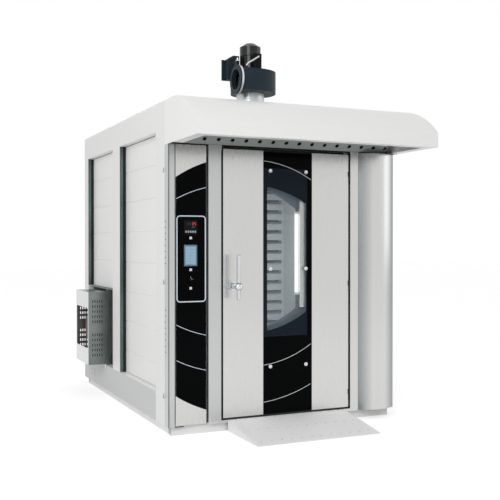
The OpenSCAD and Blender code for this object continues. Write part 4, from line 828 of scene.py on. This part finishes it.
class OVEN_OT_panel_seals(bpy.types.Operator):
    """Lays pale seals behind the panels' seams and at the bays' feet, and closes the side rails' ends"""

    bl_idname = "oven.panel_seals"
    bl_label = "Panel seals"

    def execute(self, context):
        low, high = box_mm("wall_panels")
        niche_top = box_mm("burner_niche")[1][2]
        first_seam, pitch = 442, 239
        seams = [first_seam + pitch * n for n in range(7)]
        # the two ends of the bays, and how deep the seals lie behind the panels' outer face
        front_bay, rear_bay, near, far = (low[1] + 13, 450), (674, 1540), 3.2, 6.2
        left, right, back = (low[0] + near, low[0] + far), (high[0] - far, high[0] - near), high[1]
        over_niche = [z for z in seams if z > niche_top + 1]
        bays = (
            ("left_front", (left[0], front_bay[0]), (left[1], front_bay[1]), seams),
            ("left_rear", (left[0], rear_bay[0]), (left[1], rear_bay[1]), over_niche),
            ("right_front", (right[0], front_bay[0]), (right[1], front_bay[1]), seams),
            ("right_rear", (right[0], rear_bay[0]), (right[1], rear_bay[1]), seams),
            ("back_left", (-707, back - far), (-71, back - near), seams),
            ("back_right", (71, back - far), (707, back - near), seams),
        )
        half = 1.45
        for name, start, end, heights in bays:
            seal = plate("seal", mm(*start, heights[0] - half), mm(*end, heights[0] + half))
            soften(seal, 0.0005, 1)
            rows = [seal] + [twin(seal, "seal", (0, 0, (z - heights[0]) / 1000)) for z in heights[1:]]
            dress(join(f"panel_seals_{name}", *rows), "panel_paint", "cabinet", "white_paint")
        rails = (("low", 60.6, 263.4), ("high", 2092.6, 2280.4))
        for side, sign in (("left", -1), ("right", 1)):
            x = sorted((848.3 * sign, 849.6 * sign))
            start, end = (x[0], front_bay[0], 266.2), (x[1], front_bay[1], 269)
            strip(f"bay_foot_{side}", start, end, "panel_paint", slot="white_paint")
            # plates that close the rear ends of the side rails, flush with the back
            x = sorted((897.6 * sign, 853.5 * sign))
            for rail, foot, top in rails:
                start, end = (x[0], 1678.6, foot), (x[1], 1680.6, top)
                strip(f"rail_end_{side}_{rail}", start, end, "side_frame_paint", slot="white_paint")
        return {"FINISHED"}


class OVEN_OT_door_edges(bpy.types.Operator):
    """Adds the door's sweep and caps, and the seals, thin edges and backings around it"""

    bl_idname = "oven.door_edges"
    bl_label = "Door edges"

    def execute(self, context):
        low, high = box_mm("door_skins")
        front, top = low[1], high[2]
        start, end = (low[0] + 3, front + 1, 80), (high[0] - 3, front + 9, low[2] - 0.3)
        strip("door_sweep", start, end, "black_coat_and_painted_shade", "door", "seal_rubber")
        start, end = (low[0], -697.6, top + 2.5), (high[0], -696.3, 1989)
        strip("header_seal", start, end, "black_coat_and_painted_shade", slot="seal_rubber")
        glass_low, glass_high = box_mm("outer_glass")
        caps = ("left", low[0] + 0.3, glass_low[0]), ("right", glass_high[0], high[0] - 0.3)
        for side, left, right in caps:
            start, end = (left, front, top + 0.2), (right, front + 30, top + 8)
            strip(f"door_cap_{side}", start, end, "steel_upright", "door")
        # dark strips at the bow panel's left edge and the corner post's front edge: painted shade lines
        strip("bow_edge_left", (591.6, front - 0.6, 63), (593.8, front - 0.2, 1982), "dark_steel_and_painted_shade")
        strip("corner_edge", (-899.8, -769.7, 60), (-892, -769.2, 1981), "dark_steel_and_painted_shade")
        edge = box_mm("strike_pillar")[1][0]
        start, end = (edge - 5, front - 0.6, 80), (edge - 0.2, front - 0.15, top)
        strip("strike_seal", start, end, "black_coat_and_painted_shade", slot="seal_rubber")
        # dark backing behind the two groups of vent slots in the corner post's side: painted shade in the
        # slots
        for number, z in enumerate((563, 1169), 1):
            strip(f"vent_painted_shade_{number}", (-897.7, -722, z - 6), (-896.9, -694, z + 300), "black_coat_and_painted_shade")
        # the bow panel's top, cut from a disc of the panel's own radius
        low, high = box_mm("bow_panel")
        door_front = FRONT * 1000
        width, rise = high[0] - low[0], door_front - low[1]
        radius = (width * width / 4 + rise * rise) / (2 * rise)
        middle = mm((low[0] + high[0]) / 2, low[1] + radius, high[2])
        cap = bar("bow_cap", middle - mm(0, 0, 3), middle - mm(0, 0, 1.5), (radius - 2.5) / 1000, 192)
        segment = plate("segment", mm(low[0] + 2, low[1] - 5, 1900), mm(high[0] - 2, door_front - 1, 2000))
        dress(carve(cap, segment, "INTERSECT"), "steel_upright", "cabinet", "stainless")
        return {"FINISHED"}


# height of the handle's spindle, in metres
HANDLE_Z = 1.012


class OVEN_OT_handle_fittings(bpy.types.Operator):
    """Adds the ball, the collars and the rosette of the door's handle"""

    bl_idname = "oven.handle_fittings"
    bl_label = "Handle fittings"

    def execute(self, context):
        bar_low, bar_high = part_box("handle_bar")
        x, y, z = (bar_low.x + bar_high.x) / 2, (bar_low.y + bar_high.y) / 2, HANDLE_Z
        pick_nothing()
        bpy.ops.mesh.primitive_uv_sphere_add(
            segments=48, ring_count=24, radius=0.029, location=(x, y, z), scale=(1, 0.95, 1)
        )
        ball = settle(bpy.context.object, "handle_ball")
        enter(ball)
        bpy.ops.mesh.bisect(plane_co=(x, y + 0.019, z), plane_no=(0, 1, 0), use_fill=True, clear_outer=True)
        leave()
        dress(smooth(heal(ball), 50), "polished", "handle", "polished")
        # each collar's near and far end behind the ball, its radius and its finish
        # the dark collars between the polished ones are painted dark reflection
        collars = (
            (0.022, 0.030, 0.0175, "deep_painted_shade"),
            (0.030, 0.052, 0.0215, "polished"),
            (0.052, 0.056, 0.017, "deep_painted_shade"),
            (0.056, 0.086, 0.019, "polished"),
        )
        for number, (near, far, radius, material) in enumerate(collars, 1):
            collar = bar(f"handle_collar_{number}", (x, y + near + 0.0002, z), (x, y + far, z), radius, 48)
            dress(soften(collar, 0.002, 3), material, "handle", "polished")
        rosette = button("handle_rosette", x, z, FRONT - 0.0003, 0.029, 0.004)
        dress(rosette, "polished", "door", "polished")
        return {"FINISHED"}


# the lit bars of each digit, of a seven-segment display
SEGMENTS = {"0": "abcdef", "2": "abged", "4": "fgbc", "5": "afgcd", "8": "abcdefg"}


def digits(name, text, left, low, height, front):
    """Seven-segment digits that stand proud of Y front; left and low are X and Z in metres."""
    wide, line, half = height * 0.55, height * 0.16, height / 2
    bars = {
        "a": (0, height - line, wide, height),
        "b": (wide - line, half, wide, height),
        "c": (wide - line, 0, wide, half),
        "d": (0, 0, wide, line),
        "e": (0, 0, line, half),
        "f": (0, half, line, height),
        "g": (0, half - line / 2, wide, half + line / 2),
    }
    pieces = []
    step, gap = wide + line * 1.6, line * 0.12
    for number, digit in enumerate(text):
        for letter in SEGMENTS[digit]:
            x1, z1, x2, z2 = bars[letter]
            at = left + number * step
            start = (at + x1 + gap, front - 0.0004, low + z1 + gap)
            end = (at + x2 - gap, front - 0.0001, low + z2 - gap)
            pieces.append(rounded("segment", start, end, line * 0.3, 1, False))
    return join(name, *pieces)


def bezel(name, node, thick, inset, corner):
    """A raised frame around a node's face, as wide as inset says along X and Z."""
    low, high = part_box(node)
    piece = rounded(name, (low.x, low.y - thick, low.z), (high.x, low.y - 0.0003, high.z), corner)
    wide, tall = inset
    start = (low.x + wide, low.y - 0.01, low.z + tall)
    return carve(piece, plate("inside", start, (high.x - wide, low.y + 0.01, high.z - tall)))


class OVEN_OT_control_lines(bpy.types.Operator):
    """Prints the pale blue arcs and the rounded frame on the control glass"""

    bl_idname = "oven.control_lines"
    bl_label = "Control lines"

    def execute(self, context):
        sizes = context.scene.oven_control
        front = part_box("control_glass")[0].y
        # the arcs' radius and ends, each arc's centre, and whether it bulges up
        radius, left, right = 897, -843, -629
        arcs = (
            ("control_arc_top", (-421, 820), True),
            ("control_arc_low", (-434, 1553), False),
            ("control_arc_bottom", (-434, 1312), False),
        )
        for name, centre, upper in arcs:
            line = ribbon(name, centre, radius, left, right, upper, sizes.line, front, 0.0002)
            dress(line, "pale_blue", "control_door", "key_plastic")
        # the frame around the controls, between the same sides
        low = Vector((left / 1000, front - 0.0002, 0.907))
        high = Vector((right / 1000, front - 0.00004, 1.499))
        around = rounded("control_frame", low, high, sizes.radius)
        inset, through = Vector((sizes.border, 0, sizes.border)), Vector((0, 0.01, 0))
        cutter = rounded("inside", low + inset - through, high - inset + through, sizes.radius - sizes.border)
        dress(carve(around, cutter), "pale_blue", "control_door", "key_plastic")
        return {"FINISHED"}


class OVEN_OT_controller_face(bpy.types.Operator):
    """Fits the bezel, the lit digits and the oval keys of the temperature controller"""

    bl_idname = "oven.controller_face"
    bl_label = "Controller face"

    def execute(self, context):
        sizes = context.scene.oven_control
        low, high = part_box("controller")
        face = low.y
        surround = bezel("controller_bezel", "controller", 0.003, (0.006, 0.006), 0.004)
        dress(soften(surround, 0.0008), "plastic", "control_door", "black_plastic")
        middle = (low.x + high.x) / 2
        for name, text, left, foot, height, material in (
            ("controller_faint_digits", "88", -0.024, 1.433, sizes.digit, "faint_light"),
            ("controller_red_digits", "25", 0.012, 1.433, sizes.digit, "red_light"),
            ("controller_green_digits", "240", 0.009, 1.415, sizes.digit * 0.5, "green_light"),
        ):
            piece = digits(name, text, middle + left, foot, height, face)
            dress(piece, material, "control_door", "display_glass")
        pitch, half, foot, top = 0.0165, 0.0062, 1.3805, 1.3965
        start, *others = [middle + (number - 2) * pitch for number in range(5)]
        corners = (start - half, face - 0.0016, foot), (start + half, face - 0.0002, top)
        first = soften(rounded("controller_key_1", *corners, 0.0058), 0.0005)
        dress(first, "grey_key", "control_door", "black_plastic")
        for number, x in enumerate(others, 2):
            key = twin(first, f"controller_key_{number}", (x - start, 0, 0))
            dress(key, "grey_key", "control_door", "black_plastic")
        return {"FINISHED"}


class OVEN_OT_screen_face(bpy.types.Operator):
    """Fits the bezel and the plain fields of the touch screen"""

    bl_idname = "oven.screen_face"
    bl_label = "Screen face"

    def execute(self, context):
        low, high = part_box("touch_display")
        face = low.y
        surround = bezel("screen_bezel", "touch_display", 0.002, (0.007, 0.009), 0.005)
        dress(soften(surround, 0.0006), "screen_edge", "control_door", "display_glass")
        wide, tall = (high.x - low.x - 0.024) / 2, 0.0165
        for row in range(6):
            for column in range(2):
                x = low.x + 0.010 + column * (wide + 0.004)
                z = high.z - 0.014 - (row + 1) * tall - row * 0.0035
                corners = (x, face - 0.0005, z), (x + wide, face - 0.0001, z + tall)
                tile = rounded(f"screen_field_{row + 1}_{column + 1}", *corners, 0.003, 4)
                dress(tile, "icon", "control_door", "display_glass")
        return {"FINISHED"}


class OVEN_OT_selector_marks(bpy.types.Operator):
    """Prints the marks around the selector and its pointer"""

    bl_idname = "oven.selector_marks"
    bl_label = "Selector marks"

    def execute(self, context):
        low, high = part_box("selector")
        x, z = (low.x + high.x) / 2, (low.z + high.z) / 2
        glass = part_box("control_glass")[0].y
        corners = (x - 0.0011, low.y - 0.0003, z + 0.001), (x + 0.0011, low.y - 0.0001, z + 0.0095)
        pointer = rounded("selector_pointer", *corners, 0.0009, 3)
        dress(pointer, "white_key", "selector", "key_plastic")
        for number, angle in enumerate((0, 90), 1):
            across, up = math.sin(math.radians(angle)), math.cos(math.radians(angle))
            start = Vector((x + 0.016 * across, glass - 0.0003, z + 0.016 * up))
            half = Vector((0.001 + 0.003 * abs(across), 0.0002, 0.001 + 0.003 * abs(up)))
            mark = rounded(f"selector_mark_{number}", start - half, start + half, 0.0008, 3)
            dress(mark, "white_key", "control_door", "key_plastic")
        return {"FINISHED"}


# the blower's axis at the foot of its scroll, in metres, and the motor lead's points from there, in mm
BLOWER_FOOT = Vector((-0.145, -0.439, 2.419))
LEAD_ROUTE = (
    (0, -142.3, 255), (0, -154.3, 255), (-5, -167, 252), (-19, -177, 243), (-38, -181, 231), (-58, -183, 218),
    (-78, -184, 206), (-96, -183.5, 195), (-106, -182.5, 184), (-109, -182, 178), (-109, -182, 172),
)


class OVEN_OT_blower_fittings(bpy.types.Operator):
    """Adds the motor lead and the outlet's clamp band with its block and bolt"""

    bl_idname = "oven.blower_fittings"
    bl_label = "Blower fittings"

    def execute(self, context):
        sizes = context.scene.oven_blower
        route = [tuple(BLOWER_FOOT + mm(*place)) for place in LEAD_ROUTE]
        path = bpy.data.curves.new("motor_lead_route", "CURVE")
        path.dimensions = "3D"
        path.bevel_depth, path.bevel_resolution, path.use_fill_caps = sizes.lead / 2, 5, True
        path.resolution_u = 8
        line = path.splines.new("NURBS")
        line.points.add(len(route) - 1)
        for point, place in zip(line.points, route):
            point.co = (*place, 1)
        line.order_u, line.use_endpoint_u = 4, True
        lead = bpy.data.objects.new("motor_lead_tube", path)
        bpy.context.collection.objects.link(lead)
        pick(lead)
        bpy.ops.object.convert(target="MESH")
        lead = smooth(heal(bpy.context.object), 60)
        dress(lead, "cable", "cabinet", "cable", "motor_lead")

        # the pale band that clamps the outlet's flange, with its block and bolt
        x, y, z = -0.3, -0.561, 2.498
        band = bar("clamp_band", (x - 0.007, y, z), (x + 0.007, y, z), 0.1068, 96)
        carve(band, bar("inside", (x - 0.05, y, z), (x + 0.05, y, z), 0.1061, 96))
        dress(smooth(band), "aluminium", "cabinet", "galvanised")
        foot = z + 0.1071
        top = foot + 0.036
        block = plate("clamp_block", (x - 0.011, y - 0.014, foot), (x + 0.011, y + 0.014, top))
        dress(soften(block, 0.003, 3), "aluminium", "cabinet", "galvanised")
        head = bar("clamp_bolt", (x, y, top + 0.0003), (x, y, top + 0.014), sizes.bolt / 2, 6)
        dress(soften(head, 0.0015, 2), "polished", "cabinet", "galvanised")
        return {"FINISHED"}


class OVEN_OT_ramp_rims(bpy.types.Operator):
    """Presses a darker rim, painted shade, around each anti-slip dimple of the ramp"""

    bl_idname = "oven.ramp_rims"
    bl_label = "Ramp rims"

    def execute(self, context):
        low, high = box_mm("ramp")
        # the ramp's own sizes and counts, as its node has them
        thick, long, columns, rows = 4, 500, 12, 3
        # the rims' two ends over the sheet in mm, and their radius in metres
        near, far, radius = 0.05, 0.5, 0.0066
        slope = math.asin((high[2] - thick) / long)
        step = (high[0] - low[0]) / (columns + 0.5)
        up = mm(0, -math.sin(slope), math.cos(slope))
        rims = []
        for row in range(rows):
            run = -long * (0.03 + 0.42 * row)
            y = high[1] + run * math.cos(slope) - thick * math.sin(slope)
            z = high[2] - thick + run * math.sin(slope) + thick * math.cos(slope)
            for column in range(columns):
                foot = mm(low[0] + step * (column + 0.75), y, z)
                rims.append(soften(bar("rim", foot + up * near, foot + up * far, radius, 20), 0.0001, 1))
        dress(join("ramp_rims", *rims), "dull_steel_and_painted_shade", "cabinet", "stainless")
        return {"FINISHED"}


# the photograph's camera: its place in metres, and how far it looks down and to the right, in degrees
CAMERA_PLACE, CAMERA_DOWN, CAMERA_RIGHT = (-2.7036, -6.129, 1.308), 0.446, 24.2


def area_lamp(name, place, way, wide, tall, energy, mirrored=False):
    """A soft lamp that shines along way; mirrored says whether surfaces reflect it."""
    lamp = bpy.data.lights.new(name, "AREA")
    lamp.shape, lamp.size, lamp.size_y, lamp.energy = "RECTANGLE", wide, tall, energy
    holder = bpy.data.objects.new(name, lamp)
    holder.location = place
    holder.rotation_euler = Vector(way).to_track_quat("-Z", "Y").to_euler()
    holder.visible_glossy = mirrored
    bpy.context.scene.collection.objects.link(holder)


class OVEN_OT_stage(bpy.types.Operator):
    """Lays the pale floor and places the lamps and the camera"""

    bl_idname = "oven.stage"
    bl_label = "Stage"

    def execute(self, context):
        sizes = context.scene.oven_stage
        pick_nothing()
        bpy.ops.mesh.primitive_plane_add(size=80, location=(0, 0, FLOOR - 0.002))
        floor = bpy.context.object
        floor.name = "floor"
        material = bpy.data.materials.new("pale_floor")
        material.use_nodes = True
        tree = material.node_tree
        shader = tree.nodes["Principled BSDF"]
        shader.inputs["Base Color"].default_value = sizes.floor
        shader.inputs["Roughness"].default_value = 0.9
        rays = add_node(tree, "LightPath").outputs
        seen = calc(tree, "MAXIMUM", rays["Is Camera Ray"], rays["Is Glossy Ray"])
        lift = calc(tree, "MULTIPLY", seen, 0.45)
        shader.inputs["Emission Color"].default_value = (1, 1, 1, 1)
        tree.links.new(lift, shader.inputs["Emission Strength"])
        floor.data.materials.append(material)

        world = bpy.data.worlds.new("studio")
        world.use_nodes = True
        context.scene.world = world
        tree = world.node_tree
        rays = add_node(tree, "LightPath").outputs
        seen = rays["Is Camera Ray"]
        for ray in ("Is Glossy Ray", "Is Transmission Ray"):
            seen = calc(tree, "MAXIMUM", seen, rays[ray])
        level = add_node(tree, "MapRange", {"To Min": 0.55, "To Max": 1.0, "Value": seen})
        tree.nodes["Background"].inputs["Color"].default_value = (1, 1, 1, 1)
        tree.links.new(level.outputs["Result"], tree.nodes["Background"].inputs["Strength"])

        aim = Vector((-0.2, -0.3, 1.1))
        for name, place, size, energy in (
            ("key", Vector((-6.0, -6.5, 5.2)), 4.5, sizes.key),
            ("fill", Vector((7.5, -3.2, 3.0)), 4.0, sizes.fill),
        ):
            area_lamp(name, place, aim - place, size, size, energy, True)
        # one lamp under the chamber's ceiling and one beside the window, which looks in
        area_lamp("chamber", (0, -0.1, 1.75), (0, 0, -1), 0.9, 0.9, sizes.chamber * 0.4)
        area_lamp("chamber_front", (0.05, -0.64, 1.05), (-0.25, 1, 0), 0.25, 1.5, sizes.chamber * 0.6)

        lens = bpy.data.cameras.new("camera")
        lens.lens, lens.sensor_width, lens.clip_end = sizes.lens, 36, 100
        eye = bpy.data.objects.new("camera", lens)
        eye.location = CAMERA_PLACE
        eye.rotation_euler = (math.radians(90 - CAMERA_DOWN), 0, math.radians(-CAMERA_RIGHT))
        context.scene.collection.objects.link(eye)
        context.scene.camera = eye
        context.scene.view_settings.view_transform = "Standard"
        return {"FINISHED"}


# ---------- the add-on ----------

STEPS = (
    OVEN_OT_finishes, OVEN_OT_stage, OVEN_OT_pillar_sides, OVEN_OT_panel_seals, OVEN_OT_door_edges,
    OVEN_OT_door_glass, OVEN_OT_door_lines, OVEN_OT_door_buttons, OVEN_OT_door_lamp,
    OVEN_OT_handle_fittings, OVEN_OT_control_lines, OVEN_OT_controller_face, OVEN_OT_screen_face,
    OVEN_OT_selector_marks, OVEN_OT_blower_fittings, OVEN_OT_ramp_rims,
)
SETTINGS = {
    "oven_finish": FinishSettings,
    "oven_door": DoorSettings,
    "oven_control": ControlSettings,
    "oven_blower": BlowerSettings,
    "oven_stage": StageSettings,
}


class OVEN_PT_dressing(bpy.types.Panel):
    """Lists the settings and the steps of the dressing"""

    bl_idname = "OVEN_PT_dressing"
    bl_label = "Rack oven"
    bl_space_type = "VIEW_3D"
    bl_region_type = "UI"
    bl_category = "Oven"

    def draw(self, context):
        for name, settings in SETTINGS.items():
            box = self.layout.box()
            for prop in settings.__annotations__:
                box.prop(getattr(context.scene, name), prop)
        for step in STEPS:
            self.layout.operator(step.bl_idname)


CLASSES = (*SETTINGS.values(), *STEPS, OVEN_PT_dressing)


def register():
    for item in CLASSES:
        bpy.utils.register_class(item)
    for name, settings in SETTINGS.items():
        setattr(bpy.types.Scene, name, bpy.props.PointerProperty(type=settings))


def unregister():
    for name in SETTINGS:
        delattr(bpy.types.Scene, name)
    for item in reversed(CLASSES):
        bpy.utils.unregister_class(item)


def main():
    """Dresses the frame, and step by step."""
    register()
    for step in STEPS:
        group, name = step.bl_idname.split(".")
        getattr(getattr(bpy.ops, group), name)()


if __name__ == "__main__":
    main()
